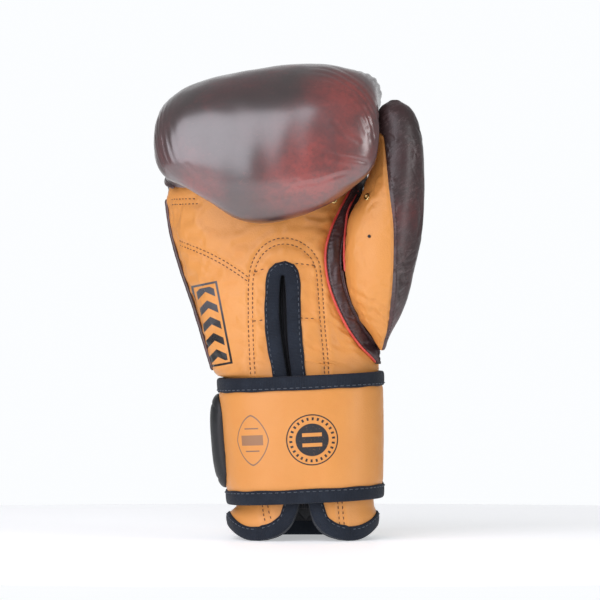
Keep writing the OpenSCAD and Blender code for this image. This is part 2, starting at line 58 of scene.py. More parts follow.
# each row: height, then the left, right, palm-side and back-side limits, and how square the outline is
HAND = np.array([
    [0, -45.4, 49, -39, 42, 2.5, 2.5], [12, -45.2, 49, -38.6, 42, 2.5, 2.5],
    [21, -40.4, 47.4, -37.4, 41.2, 2.5, 2.5], [30, -39.6, 46.9, -37, 41, 2.5, 2.5],
    [60, -42.4, 46.8, -36.5, 41, 2.5, 2.5], [101.8, -46.4, 47, -36, 42, 2.5, 2.4],
    [103.6, -52.8, 48.8, -35.9, 42.6, 2.5, 2.3], [112, -56.2, 50.6, -35.6, 43.5, 2.5, 2.2],
    [125, -60, 49.6, -35, 46, 2.4, 2], [150, -67, 47.8, -33, 50, 2.4, 2],
    [178, -75.5, 45, -31, 55, 2.4, 2], [205, -82, 43, -29.5, 59, 2.4, 2],
    [228, -85, 43, -29, 60, 2.4, 2.2]])
HOLLOW = np.array([
    [r[0], r[1] + 9, r[2] - 9, r[3] + 9, r[4] - 9, r[5], r[6]] for r in HAND if r[0] <= CUFF_TOP] + [
    [125, -47, 36, -26, 28, 2.4, 2.2], [150, -52, 34, -24, 22, 2.4, 2.2], [178, -56, 30, -22, 17, 2.4, 2.2],
    [205, -59, 27, -20.5, 15, 2.4, 2.2], [228, -60, 26, -20, 14, 2.4, 2.2]])
WRAP = np.array([[20, -41.8, 48.9, -40.3, 45.2, 2.7, 2.7], [106, -48.6, 48.9, -40.3, 45.4, 2.7, 2.7]])
# the fist's rows go by the turn about the knuckle fold, with the inner and outer radius first
FIST = np.array([
    [0, 3, 92, -85, 43, 2.5], [30, 3, 90, -87, 43.5, 2.6], [60, 3, 81, -89, 45, 2.7],
    [90, 3, 72, -91, 48, 2.8], [120, 3, 62.5, -91.3, 48, 2.9], [150, 3, 51, -85.5, 48, 2.6],
    [170, 3, 44, -74.5, 47, 2.4], [190, 3, 39.5, -63, 41.5, 2.3], [210, 3, 35, -51.5, 29, 2.2],
    [228, 3, 30.5, -42, 9, 2.1], [240, 4, 25, -35, -6, 2]])
THUMB = np.array([
    [121, 50, 54, -23, -17], [130, 44.5, 58, -31, -11], [140, 37.8, 63.5, -37, -7], [155, 31.5, 69, -43, -4],
    [172, 28.6, 72.8, -46, -2], [190, 28.8, 75.5, -47, -1], [205, 31.6, 77.3, -47, -1],
    [220, 39.2, 78, -46, -1], [235, 44.0, 78, -44.5, -2], [250, 46.4, 77.5, -43, -3],
    [262, 47.6, 75.6, -41, -6], [270, 49, 72.4, -38, -9], [274.5, 51.8, 68.6, -33.5, -13.5],
    [277.4, 56, 63.8, -28, -19]])
# height, then the left and right edge
GUSSET = np.array([
    [111, 48.2, 51], [116, 44, 50.6], [122, 38, 49], [133, 30, 40.5], [149, 22, 32], [164, 17.2, 27.6],
    [180, 15.8, 26.8], [193, 18.6, 29.6], [205, 24, 34.4], [215, 29.6, 38.6], [226, 35.6, 43],
    [240, 41.5, 46.4], [256, 45.5, 48.2]])
THUMB_SEAM = np.array([
    [121, 52], [131, 55.4], [149, 57.3], [168, 58.6], [187, 59], [200, 58.6], [219, 56.1], [236, 54.2],
    [252, 52.4], [262, 51], [280, 50]])
SLIT = np.array([
    [0, -25.5, 30], [2, -17.8, 22], [5, -11.6, 15.8], [10, -6.2, 10.6], [16, -3.2, 7.6], [24, -1.2, 5.4],
    [45, -3, 1.2], [75, -5.6, -2.2], [103, -8, -5.2], [125, -11.6, -7.6], [145, -13.4, -8.4],
    [160, -12.8, -9], [167, -12.1, -9.7]])
SLIT_TOP, SLIT_R = np.array([-10.9, 167.0]), 1.2


def col(tab, s, k):
    """Cubic interpolation of column k at station s, the same rule as the CAD source's."""
    x, y = tab[:, 0], tab[:, k]
    s = np.asarray(s, float)
    m = np.empty(len(x))
    m[1:-1] = (y[2:] - y[:-2]) / (x[2:] - x[:-2])
    m[0], m[-1] = (y[1] - y[0]) / (x[1] - x[0]), (y[-1] - y[-2]) / (x[-1] - x[-2])
    i = np.clip(np.searchsorted(x, s, "right") - 1, 0, len(x) - 2)
    w = x[i + 1] - x[i]
    t = np.clip((s - x[i]) / w, 0, 1)
    return (y[i] * (1 + 2 * t) * (1 - t) ** 2 + m[i] * w * t * (1 - t) ** 2
            + y[i + 1] * t * t * (3 - 2 * t) + m[i + 1] * w * t * t * (t - 1))


def ease(t):
    """0 to 1 with soft ends."""
    t = np.clip(t, 0, 1)
    return t * t * (3 - 2 * t)


def bell(d, width, p=2):
    """1 at d = 0, falling to nothing past the width."""
    return np.exp(-np.abs(d / width) ** p)


def power(v, n):
    """Signed power that turns a circle's cosine or sine into a squarer outline's."""
    return np.sign(v) * np.abs(v) ** (2 / n)


def unit(v):
    return v / np.linalg.norm(v, axis=-1, keepdims=True)


def cosd(a):
    return np.cos(np.radians(a))


def sind(a):
    return np.sin(np.radians(a))


def tilt(x, z):
    """Rise of the levels towards the thumb's side, none at the cuff."""
    return LEAN * x * ease((z - CUFF_TOP) / (FOLD_Z - CUFF_TOP))


def hem(a):
    """Rise of the lower edge at both sides of the wrist."""
    return HEM_RISE * np.maximum(0, (np.abs(cosd(a)) - 0.6) / 0.4) ** 2


def around(tab, z, a, inset=0.0, rise=True):
    """Points of a table's outline at level z and direction a, in degrees from the thumb's side."""
    z, a = np.broadcast_arrays(np.asarray(z, float), np.asarray(a, float))
    left, right, f, b = (col(tab, z, k) for k in (1, 2, 3, 4))
    c, s = cosd(a), sind(a)
    n = np.where((c > 0) & (s < 0), col(tab, z, 6), col(tab, z, 5))
    x = (left + right) / 2 + power(c, n) * ((right - left) / 2 - inset)
    y = (f + b) / 2 + power(s, n) * ((b - f) / 2 - inset)
    up = np.where(z < 20, (hem(a) + TAPE_T + GAP) * (1 - z / 20), 0) if rise else 0
    return np.stack([x, y, z + tilt(x, z) + up], -1)


def palm_side_angle(u, p):
    """Direction on the palm's side of the point at u, from -1 to 1 across."""
    a = np.degrees(np.arccos(np.abs(u) ** p))
    return np.where(u > 0, 360 - a, 180 + a)


def direction_of(tab, z, x):
    """Direction of the outline's point at x on the palm's side."""
    z, x = np.broadcast_arrays(np.asarray(z, float), np.asarray(x, float))
    left, right = col(tab, z, 1), col(tab, z, 2)
    u = np.clip((2 * x - left - right) / (right - left), -1, 1)
    n = np.where(u > 0, col(tab, z, 6), col(tab, z, 5))
    return palm_side_angle(u, n / 2)


def level_for(x, z):
    """Level of the hand compartment that lies at real height z above x."""
    lv = np.asarray(z, float).copy()
    for _ in range(6):
        lv = z - tilt(x, lv)
    return lv


def palm_point(x, z, out=0.0):
    """A point on the palm face at x and real height z, lifted outwards."""
    x, z = np.broadcast_arrays(np.asarray(x, float), np.asarray(z, float))
    lv = level_for(x, z)
    p = around(HAND, lv, direction_of(HAND, lv, x), -out, rise=False)
    return np.stack([x, p[..., 1], z], -1)


def gusset_edge(z, side):
    """Direction of the gusset's left (1) or right (2) edge, seen from the hand."""
    return np.where(z < GUSSET[0, 0], 360.0, np.minimum(359, direction_of(HAND, z, col(GUSSET, z, side))))


# ---------------------------------------------------------------- mesh making
def build(name, points, faces, uv=None, smooth=True):
    """A mesh object from millimetres, with its cut pattern as UV map."""
    me = bpy.data.meshes.new(name)
    me.from_pydata((np.asarray(points) * 0.001).tolist(), [], [tuple(f) for f in np.asarray(faces).tolist()]
                   if isinstance(faces, np.ndarray) else faces)
    if uv is not None:
        layer = me.uv_layers.new(name="Cut")
        loops = np.empty(len(me.loops), np.int32)
        me.loops.foreach_get("vertex_index", loops)
        layer.data.foreach_set("uv", (np.asarray(uv)[loops] * 0.001).astype(np.float32).ravel())
    me.validate()
    me.update()
    if smooth:
        me.shade_smooth()
    ob = bpy.data.objects.new(name, me)
    bpy.context.scene.collection.objects.link(ob)
    return ob


def quads(nu, nv, wrap_u=False, wrap_v=False):
    """The four-sided faces of a grid of nu by nv points."""
    i = np.arange(nu if wrap_u else nu - 1)[:, None]
    j = np.arange(nv if wrap_v else nv - 1)[None, :]
    a, b = i * nv + j, i * nv + (j + 1) % nv
    c, d = (i + 1) % nu * nv + (j + 1) % nv, (i + 1) % nu * nv + j
    return np.stack([a, b, c, d], -1).reshape(-1, 4)


def normals(P, wrap_v=False):
    """Unit normals of a grid of points."""
    across = np.roll(P, -1, 1) - np.roll(P, 1, 1) if wrap_v else np.gradient(P, axis=1)
    n = np.cross(across, np.gradient(P, axis=0))
    return n / np.maximum(np.linalg.norm(n, axis=-1, keepdims=True), 1e-9)


def arc_uv(P):
    """Distances along both directions of a grid, in millimetres, as its cut pattern."""
    du = np.linalg.norm(np.diff(P, axis=0), axis=-1).mean(1)
    dv = np.linalg.norm(np.diff(P, axis=1), axis=-1).mean(0)
    u = np.concatenate([[0], np.cumsum(du)])
    v = np.concatenate([[0], np.cumsum(dv)])
    return np.stack(np.broadcast_arrays(v[None, :], u[:, None]), -1)


def run_of(P):
    """Distance from the first point of a path to each of its points."""
    return np.concatenate([[0], np.cumsum(np.linalg.norm(np.diff(P, axis=0), axis=-1))])


def tape_uv(R):
    """The cut pattern of a sweep: along the tape, then round its section."""
    return np.stack(np.broadcast_arrays(run_of(R.mean(1))[:, None], run_of(R[len(R) // 2])[None, :]), -1)


def shell(name, P, thick, wrap_v=False, keep=None, inward=None):
    """A closed sheet of leather: the outer face P, an inner face, and walls round every edge."""
    N = normals(P, wrap_v) if inward is None else -inward
    q = quads(*P.shape[:2], wrap_v=wrap_v)
    if keep is not None:
        k = keep.reshape(-1)
        q = q[k[q].all(1)]
    outer, inner = P.reshape(-1, 3), (P - N * thick).reshape(-1, 3)
    m = len(outer)
    edges = {}
    for f in q.tolist():
        for a, b in zip(f, f[1:] + f[:1]):
            edges[(a, b)] = True
    rim = [(a, b) for (a, b) in edges if (b, a) not in edges]
    faces = q.tolist() + (q[:, ::-1] + m).tolist() + [(b, a, a + m, b + m) for a, b in rim]
    used = np.zeros(2 * m, bool)
    for f in faces:
        used[list(f)] = True
    index = np.cumsum(used) - 1
    pts = np.concatenate([outer, inner])[used]
    uvs = np.concatenate([arc_uv(P).reshape(-1, 2)] * 2)[used]
    faces = [tuple(int(index[v]) for v in f) for f in faces]
    ob = build(name, pts, faces, uvs)
    mark_sharp(ob)
    return ob


def mark_sharp(ob, angle=50):
    ob.data.set_sharp_from_angle(angle=math.radians(angle))


def sweep(name, rings, closed=False, uv=None, sharp=60):
    """A closed solid through rings of points, capped at its ends."""
    R = np.asarray(rings, float)
    nu, nv, _ = R.shape
    q = quads(nu, nv, closed, True).tolist()
    pts = R.reshape(-1, 3)
    uv = (tape_uv(R) if uv is None else uv).reshape(-1, 2)
    if not closed:
        q += [tuple(range(nv))[::-1], tuple(range((nu - 1) * nv, nu * nv))]
    ob = build(name, pts, [tuple(f) for f in q], uv)
    mark_sharp(ob, sharp)
    return ob


def outward(ob):
    """Turns every face outwards."""
    bm = bmesh.new()
    bm.from_mesh(ob.data)
    bmesh.ops.recalc_face_normals(bm, faces=bm.faces)
    bm.to_mesh(ob.data)
    bm.free()
    return ob


def resample(P, step):
    """Even steps along a path."""
    P = np.asarray(P, float)
    d = run_of(P)
    n = max(2, int(round(d[-1] / step)) + 1)
    t = np.linspace(0, d[-1], n)
    return np.stack([np.interp(t, d, P[:, k]) for k in range(P.shape[1])], -1)


def smooth_path(P, step):
    """Corners cut twice, then even steps."""
    P = np.asarray(P, float)
    for _ in range(2):
        a, b = P[:-1], P[1:]
        mid = np.stack([a * 0.75 + b * 0.25, a * 0.25 + b * 0.75], 1).reshape(-1, P.shape[1])
        P = np.concatenate([P[:1], mid, P[-1:]])
    return resample(P, step)


def wave(p, seed, size):
    """Smooth repeatable unevenness of about unit height, from a few sine waves in space."""
    r = np.random.default_rng(seed)
    total = 0
    for _ in range(7):
        k = r.normal(size=3)
        k = k / np.linalg.norm(k) * 2 * math.pi / size * r.uniform(0.6, 1.6)
        total = total + np.sin(p @ k + r.uniform(0, 6.28))
    return total / 3.2


def ridges(t, sharp=1.0):
    """Rounded ridges with narrow valleys, period 1."""
    return np.abs(np.sin(math.pi * t)) ** sharp - 0.64


def to_line(x, z, line):
    """Distance of points from a polyline in the palm's plane."""
    best = np.full(x.shape, 1e9)
    L = np.asarray(line, float)
    for a, b in zip(L[:-1], L[1:]):
        d = b - a
        t = np.clip(((x - a[0]) * d[0] + (z - a[1]) * d[1]) / max(d @ d, 1e-9), 0, 1)
        best = np.minimum(best, np.hypot(x - a[0] - t * d[0], z - a[1] - t * d[1]))
    return best


def puff(P, wrap_v, pins, pressure=4.0, grow=0.02, cap=6.0, frames=20):
    """Lets a coarse grid of leather swell over its padding by cloth simulation. Gives each point's move."""
    nu, nv, _ = P.shape
    ob = build("swell", P.reshape(-1, 3), quads(nu, nv, False, wrap_v))
    group = ob.vertex_groups.new(name="held")
    group.add([int(i) for i in np.flatnonzero(pins.reshape(-1))], 1.0, "REPLACE")
    mod = ob.modifiers.new("cloth", "CLOTH")
    s = mod.settings
    s.quality = 6
    s.mass = 0.3
    s.tension_stiffness = s.compression_stiffness = 25
    s.shear_stiffness = 12
    s.bending_stiffness = 1.2
    s.use_pressure = True
    s.uniform_pressure_force = pressure
    s.vertex_group_mass = "held"
    s.shrink_min = -grow
    s.effector_weights.gravity = 0
    mod.collision_settings.use_collision = False
    mod.point_cache.frame_start, mod.point_cache.frame_end = 1, frames
    scene = bpy.context.scene
    for f in range(1, frames + 1):
        scene.frame_set(f)
    e = ob.evaluated_get(bpy.context.evaluated_depsgraph_get())
    co = np.empty(len(e.data.vertices) * 3, np.float32)
    e.data.vertices.foreach_get("co", co)
    move = co.reshape(nu, nv, 3).astype(float) * 1000 - P
    size = np.linalg.norm(move, axis=-1, keepdims=True)
    move = move * np.minimum(1, cap / np.maximum(size, 1e-9))
    me = ob.data
    bpy.data.objects.remove(ob)
    bpy.data.meshes.remove(me)
    scene.frame_set(1)
    return np.nan_to_num(move)


def refine(M, nu, nv, wrap_v=False):
    """Spreads a coarse grid's moves over a fine grid by cubic interpolation along both directions."""
    def cubic(A, n, wrap):
        m = A.shape[0]
        t = np.linspace(0, m if wrap else m - 1, n, endpoint=not wrap)
        i = np.floor(t).astype(int)
        if not wrap:
            i = np.minimum(i, m - 2)
        f = (t - i)[:, None, None]
        pick = (lambda k: A[k % m]) if wrap else (lambda k: A[np.clip(k, 0, m - 1)])
        a, b, c, d = pick(i - 1), pick(i), pick(i + 1), pick(i + 2)
        return 0.5 * (2 * b + (c - a) * f + (2 * a - 5 * b + 4 * c - d) * f ** 2
                      + (3 * b - a - 3 * c + d) * f ** 3)
    A = cubic(M, nu, False)
    return cubic(A.transpose(1, 0, 2), nv, wrap_v).transpose(1, 0, 2)


# ---------------------------------------------------------------- materials
class Net:
    """Short hand for building a node tree."""

    def __init__(self, name):
        self.m = bpy.data.materials.new(name)
        self.m.use_nodes = True
        self.nt = self.m.node_tree
        self.bsdf = self.nt.nodes["Principled BSDF"]
        tc = self.nt.nodes.new("ShaderNodeTexCoord")
        self.obj, self.uv = tc.outputs["Object"], tc.outputs["UV"]

    def node(self, kind, **inputs):
        n = self.nt.nodes.new(kind)
        for k, v in inputs.items():
            if k.startswith("_"):
                setattr(n, k[1:], v)
        for k, v in inputs.items():
            if not k.startswith("_"):
                self.put(n.inputs[k.replace("__", " ")] if not k.isdigit() else n.inputs[int(k)], v)
        return n

    def put(self, socket, v):
        if isinstance(v, bpy.types.NodeSocket):
            self.nt.links.new(v, socket)
        else:
            socket.default_value = v

    def noise(self, vec, scale, detail=3.0, rough=0.55, distortion=0.0):
        n = self.node("ShaderNodeTexNoise", Vector=vec, Scale=scale, Detail=detail, Roughness=rough,
                      Distortion=distortion)
        return n.outputs["Fac"]

    def cells(self, vec, scale):
        return self.node("ShaderNodeTexVoronoi", Vector=vec, Scale=scale).outputs["Distance"]

    def mul(self, a, b):
        return self.math("MULTIPLY", a, b)

    def add(self, a, b):
        return self.math("ADD", a, b)

    def sub(self, a, b):
        return self.math("SUBTRACT", a, b)

    def size(self, a):
        return self.math("ABSOLUTE", a)

    def most(self, a, b):
        return self.math("MAXIMUM", a, b)

    def math(self, op, a, b=0.0, clamp=False):
        n = self.node("ShaderNodeMath", _operation=op, _use_clamp=clamp)
        self.put(n.inputs[0], a)
        self.put(n.inputs[1], b)
        return n.outputs[0]

    def ripple(self, v, pitch):
        return self.math("SINE", self.mul(v, 2 * math.pi / pitch))

    def span(self, v, a, b, lo=0.0, hi=1.0):
        """Carries a to b over to lo to hi, with soft ends."""
        n = self.node("ShaderNodeMapRange", _interpolation_type="SMOOTHSTEP")
        self.put(n.inputs[0], v)
        for k, x in enumerate((a, b, lo, hi)):
            self.put(n.inputs[k + 1], x)
        return n.outputs[0]

    def mix(self, fac, a, b):
        n = self.node("ShaderNodeMix", _data_type="RGBA")
        self.put(n.inputs[0], fac)
        for s, v in ((n.inputs[6], a), (n.inputs[7], b)):
            self.put(s, v if isinstance(v, bpy.types.NodeSocket) else (*v, 1.0))
        return n.outputs[2]

    def stretch(self, vec, scale):
        return self.node("ShaderNodeMapping", Vector=vec, Scale=scale).outputs[0]

    def parts(self, vec):
        return self.node("ShaderNodeSeparateXYZ", Vector=vec).outputs

    def near(self, vec, centre, r):
        """1 at a place, falling to 0 at distance r."""
        n = self.node("ShaderNodeVectorMath", _operation="DISTANCE")
        self.put(n.inputs[0], vec)
        n.inputs[1].default_value = centre
        return self.span(n.outputs["Value"], r, 0.0)

    def bump(self, height, strength, distance, normal=None):
        n = self.node("ShaderNodeBump", Height=height, Strength=strength, Distance=distance)
        if normal is not None:
            self.put(n.inputs["Normal"], normal)
        return n.outputs[0]

    def done(self, color, rough, normal=None, **fixed):
        b = self.bsdf
        self.put(b.inputs["Base Color"], color if isinstance(color, bpy.types.NodeSocket) else (*color, 1.0))
        self.put(b.inputs["Roughness"], rough)
        if normal is not None:
            self.put(b.inputs["Normal"], normal)
        for k, v in fixed.items():
            b.inputs[k.replace("__", " ")].default_value = v
        return self.m


def tan_leather(name, prints=None):
    n = Net(name)
    big = n.noise(n.obj, 14, 4, 0.55)
    mid = n.noise(n.obj, 75, 4, 0.6)
    pores = n.cells(n.obj, 1150)
    grain = n.noise(n.obj, 700, 3, 0.6)
    c = n.mix(n.span(big, 0.3, 0.72), (0.690, 0.285, 0.066), (0.745, 0.320, 0.082))
    c = n.mix(n.span(mid, 0.52, 0.8, 0, 0.35), c, (0.70, 0.255, 0.055))
    c = n.mix(n.span(pores, 0.0, 0.28, 0.16, 0.0), c, (0.42, 0.14, 0.03))
    rough = n.span(n.add(n.mul(mid, 0.7), n.mul(grain, 0.3)), 0.3, 0.7, 0.36, 0.52)
    if prints is not None:
        c, rough = prints(n, c, rough)
    fine = n.bump(n.add(n.mul(pores, 0.7), n.mul(grain, 0.6)), 0.22, 0.0005)
    nor = n.bump(n.noise(n.obj, 120, 4, 0.6), 0.16, 0.0012, fine)
    return n.done(c, rough, nor, **{"Specular__IOR__Level": 0.42, "Coat__Weight": 0.06,
                                    "Coat__Roughness": 0.35})


def dark_leather(name, mottled=False, wrinkled=0.0, coat=0.6, polish=0.30):
    n = Net(name)
    big = n.noise(n.obj, 17, 5, 0.62, 0.6)
    mid = n.noise(n.obj, 60, 5, 0.65, 0.3)
    specks = n.noise(n.obj, 420, 3, 0.6)
    pores = n.cells(n.obj, 1000)
    brown, wine, red = (0.034, 0.017, 0.017), (0.060, 0.016, 0.018), (0.300, 0.036, 0.028)
    c = n.mix(n.span(big, 0.35, 0.68), brown, wine)
    rub = n.span(n.add(n.mul(big, 0.45), n.mul(mid, 0.55)), 0.50, 0.72, 0.0, 0.22)
    if mottled:
        spots = [((0.018, -0.075, 0.238), 0.044, 1.0), ((0.030, -0.055, 0.280), 0.034, 0.85),
                 ((-0.004, -0.072, 0.222), 0.030, 0.8), ((-0.062, -0.065, 0.222), 0.020, 0.8),
                 ((-0.060, 0.030, 0.270), 0.045, 0.6), ((0.010, 0.055, 0.255), 0.045, 0.7)]
        total = 0.0
        for centre, r, w in spots:
            total = n.add(n.mul(n.near(n.obj, centre, r * 1.2), w), total)
        ragged = n.mul(total, n.span(mid, 0.30, 0.66, 0.35, 1.0))
        rub = n.math("MAXIMUM", rub, n.mul(ragged, 0.92), clamp=True)
    c = n.mix(rub, c, red)
    c = n.mix(n.span(specks, 0.45, 0.75, 0.0, 0.34), c, (0.030, 0.014, 0.014))
    height = n.add(n.mul(pores, 0.8), n.mul(specks, 0.7))
    nor = n.bump(height, 0.04 if mottled else 0.16, 0.00045)
    if wrinkled:
        turned = n.node("ShaderNodeMapping", Vector=n.obj, Rotation=(0.0, math.radians(34), 0.0))
        w = n.noise(n.stretch(turned.outputs[0], (62, 80, 400)), 1.0, 4, 0.62, 0.7)
        lines = n.span(n.size(n.sub(w, 0.5)), 0.030, 0.0)
        patchy = n.span(n.noise(n.obj, 70, 3, 0.5), 0.40, 0.60)
        lines = n.mul(lines, patchy)
        c = n.mix(n.mul(lines, 0.42), c, (0.20, 0.125, 0.125))
        nor = n.bump(n.add(n.mul(w, 1.4), n.mul(lines, 0.3)), wrinkled, 0.0011, nor)
    else:
        far = n.noise(n.stretch(n.obj, (16, 16, 44)), 1.0, 4, 0.6, 1.6)
        lines = n.mul(n.span(n.size(n.sub(far, 0.52)), 0.006, 0.0), n.span(mid, 0.46, 0.64))
        c = n.mix(n.mul(lines, 0.16), c, (0.42, 0.13, 0.10))
        nor = n.bump(n.noise(n.obj, 95, 3, 0.5, 0.4), 0.05 if mottled else 0.12, 0.0014, nor)
    rough = n.span(n.add(n.mul(mid, 0.6), n.mul(specks, 0.4)), 0.32, 0.68, polish, polish + 0.14)
    return n.done(c, rough, nor, **{"Specular__IOR__Level": 0.6, "Coat__Weight": coat,
                                    "Coat__Roughness": polish - 0.06, "Coat__IOR": 2.0 if mottled else 1.6,
                                    "Sheen__Weight": 0.05, "Sheen__Roughness": 0.45})


def tape(name):
    """Woven binding tape: ribs across the tape, with the cut pattern's first direction along it."""
    n = Net(name)
    u, v, _ = n.parts(n.uv)
    ribs = n.ripple(u, 0.00095)
    threads = n.math("SINE", n.add(n.mul(v, 2 * math.pi / 0.0006), n.mul(u, 2 * math.pi / 0.0019)))
    weave = n.add(n.mul(ribs, 0.6), n.mul(threads, 0.4))
    worn = n.noise(n.obj, 60, 4, 0.6)
    fuzz = n.noise(n.obj, 900, 3, 0.7)
    c = n.mix(n.span(worn, 0.35, 0.7), (0.0075, 0.011, 0.019), (0.014, 0.020, 0.032))
    c = n.mix(n.span(weave, 0.1, 0.9, 0.0, 0.5), c, (0.026, 0.036, 0.054))
    c = n.mix(n.span(fuzz, 0.60, 0.78, 0.0, 0.35), c, (0.085, 0.105, 0.14))
    nor = n.bump(n.add(n.mul(weave, 0.5), n.mul(fuzz, 0.5)), 0.55, 0.0004)
    return n.done(c, n.span(fuzz, 0.3, 0.7, 0.62, 0.82), nor,
                  **{"Sheen__Weight": 0.06, "Sheen__Roughness": 0.4, "Specular__IOR__Level": 0.25})


def thread(name, color, light):
    n = Net(name)
    twist = n.noise(n.obj, 1600, 2, 0.5)
    c = n.mix(n.span(twist, 0.35, 0.65), color, light)
    return n.done(c, 0.62, n.bump(twist, 0.5, 0.0002), **{"Sheen__Weight": 0.2})


def red_leather(name):
    n = Net(name)
    a = n.noise(n.obj, 90, 4, 0.6)
    b = n.noise(n.obj, 900, 2, 0.5)
    c = n.mix(n.span(a, 0.35, 0.7), (0.62, 0.055, 0.045), (0.78, 0.105, 0.080))
    c = n.mix(n.span(b, 0.55, 0.75, 0, 0.35), c, (0.36, 0.02, 0.02))
    return n.done(c, n.span(a, 0.3, 0.7, 0.30, 0.45), n.bump(b, 0.25, 0.0003),
                  **{"Coat__Weight": 0.15, "Coat__Roughness": 0.3})


def elastic(name):
    n = Net(name)
    u = n.parts(n.uv)[0]
    ribs = n.ripple(u, 0.0016)
    fuzz = n.noise(n.obj, 1100, 3, 0.7)
    c = n.mix(n.span(ribs, -0.6, 0.8), (0.008, 0.009, 0.012), (0.022, 0.025, 0.032))
    return n.done(c, 0.8, n.bump(n.add(ribs, fuzz), 0.6, 0.0005), **{"Sheen__Weight": 0.25})


def moulded(name):
    n = Net(name)
    a = n.noise(n.obj, 45, 4, 0.6)
    b = n.cells(n.obj, 1500)
    c = n.mix(n.span(a, 0.35, 0.7), (0.010, 0.011, 0.012), (0.020, 0.021, 0.023))
    return n.done(c, n.span(a, 0.3, 0.7, 0.42, 0.58), n.bump(b, 0.3, 0.0003),
                  **{"Specular__IOR__Level": 0.45})


def brass(name):
    n = Net(name)
    a = n.noise(n.obj, 500, 4, 0.6)
    c = n.mix(n.span(a, 0.35, 0.7), (0.62, 0.42, 0.16), (0.85, 0.66, 0.30))
    return n.done(c, n.span(a, 0.3, 0.7, 0.2, 0.42), n.bump(a, 0.15, 0.0002), Metallic=1.0)


def satin(name):
    n = Net(name)
    u, v, _ = n.parts(n.uv)
    quilt = n.mul(n.size(n.math("SINE", n.mul(n.add(u, v), 280.0))),
                  n.size(n.math("SINE", n.mul(n.sub(u, v), 280.0))))
    weave = n.noise(n.obj, 1300, 2, 0.6)
    c = n.mix(n.span(weave, 0.3, 0.7), (0.016, 0.017, 0.021), (0.032, 0.034, 0.040))
    nor = n.bump(n.add(n.math("POWER", quilt, 0.4), n.mul(weave, 0.15)), 0.6, 0.0016)
    return n.done(c, 0.55, nor, **{"Sheen__Weight": 0.4, "Sheen__Roughness": 0.3})


def fuzzy(name, hooks=False):
    n = Net(name)
    a = n.noise(n.obj, 1500, 3, 0.75)
    b = n.cells(n.obj, 700 if hooks else 1200)
    c = n.mix(n.span(a, 0.35, 0.7), (0.007, 0.008, 0.009), (0.035, 0.037, 0.042))
    return n.done(c, 0.9, n.bump(n.add(a, b), 0.9, 0.0012), **{"Sheen__Weight": 0.5})


def strap_prints(n, c, rough):
    """Plain generic marks on the strap: a lozenge with a bar, and a ring of dashes round a barred disc."""
    u, v, _ = n.parts(n.uv)
    soft = 0.0002

    def local(cu, cv):
        return n.sub(u, cu), n.sub(v, cv)

    def band(v, at, half):
        return n.span(n.size(n.sub(v, at)), half, half * 0.6)

    def bar(p, q, cz, half_w, half_h):
        return n.mul(n.span(n.size(p), half_w, half_w - soft),
                     n.span(n.size(n.sub(q, cz)), half_h, half_h - soft))

    a, b = local(-0.0322, 0.0408)
    shape = n.add(n.math("POWER", n.math("DIVIDE", n.size(a), 0.0114), 1.5),
                  n.math("POWER", n.math("DIVIDE", n.size(b), 0.0163), 1.5))
    left = n.most(band(shape, 0.94, 0.055), n.mul(bar(a, b, 0.0, 0.0076, 0.0033), 0.8))
    for cz in (0.0074, -0.0068):
        left = n.most(left, bar(a, b, cz, 0.0048, 0.0005))
    p, q = local(0.0057, 0.0397)
    r = n.math("SQRT", n.add(n.mul(p, p), n.mul(q, q)))
    ring = band(r, 0.0157, 0.00050)
    disc = n.span(r, 0.0104, 0.0101)
    for cz in (0.0032, -0.0032):
        disc = n.mul(disc, n.sub(1.0, bar(p, q, cz, 0.0062, 0.00125)))
    dashes = n.mul(n.mul(n.span(r, 0.0121, 0.0124), n.span(r, 0.0143, 0.0140)),
                   n.span(n.math("SINE", n.mul(n.math("ARCTAN2", q, p), 26.0)), 0.15, 0.4))
    right = n.most(n.most(ring, disc), dashes)
    speck = n.span(n.noise(n.obj, 800, 3, 0.6), 0.25, 0.42)
    c = n.mix(n.mul(left, 0.85), c, (0.16, 0.115, 0.095))
    mark = n.mul(right, n.add(n.mul(speck, 0.2), 0.8))
    return n.mix(mark, c, (0.020, 0.019, 0.022)), n.add(rough, n.mul(mark, 0.08))


def palm_prints(n, c, rough):
    """A plain slanted panel of chevrons near the little-finger edge, the generic stand-in for a mark."""
    x, y, z = n.parts(n.obj)
    slant = math.radians(11)
    a, b = n.sub(x, -0.0560), n.sub(z, 0.1362)
    p = n.add(n.mul(a, math.cos(slant)), n.mul(b, math.sin(slant)))
    q = n.sub(n.mul(b, math.cos(slant)), n.mul(a, math.sin(slant)))

    def panel(half_w, half_h):
        return n.mul(n.span(n.size(p), half_w, half_w - 0.0003), n.span(n.size(q), half_h, half_h - 0.0003))

    frame_line = n.sub(panel(0.0088, 0.0268), panel(0.0074, 0.0254))
    chevron = n.span(n.ripple(n.add(q, n.mul(n.size(p), 0.7)), 0.0105), 0.0, 0.12)
    front = n.span(y, 0.004, 0.000)
    mark = n.mul(n.most(frame_line, n.mul(panel(0.0060, 0.0240), chevron)), front)
    # painted reflection: the print's colour runs from near black at its lower end to grey-blue at its upper
    # end
    painted_sheen = n.mix(n.span(q, -0.02, 0.025), (0.012, 0.011, 0.011), (0.085, 0.085, 0.095))
    return n.mix(mark, c, painted_sheen), n.sub(rough, n.mul(mark, 0.12))


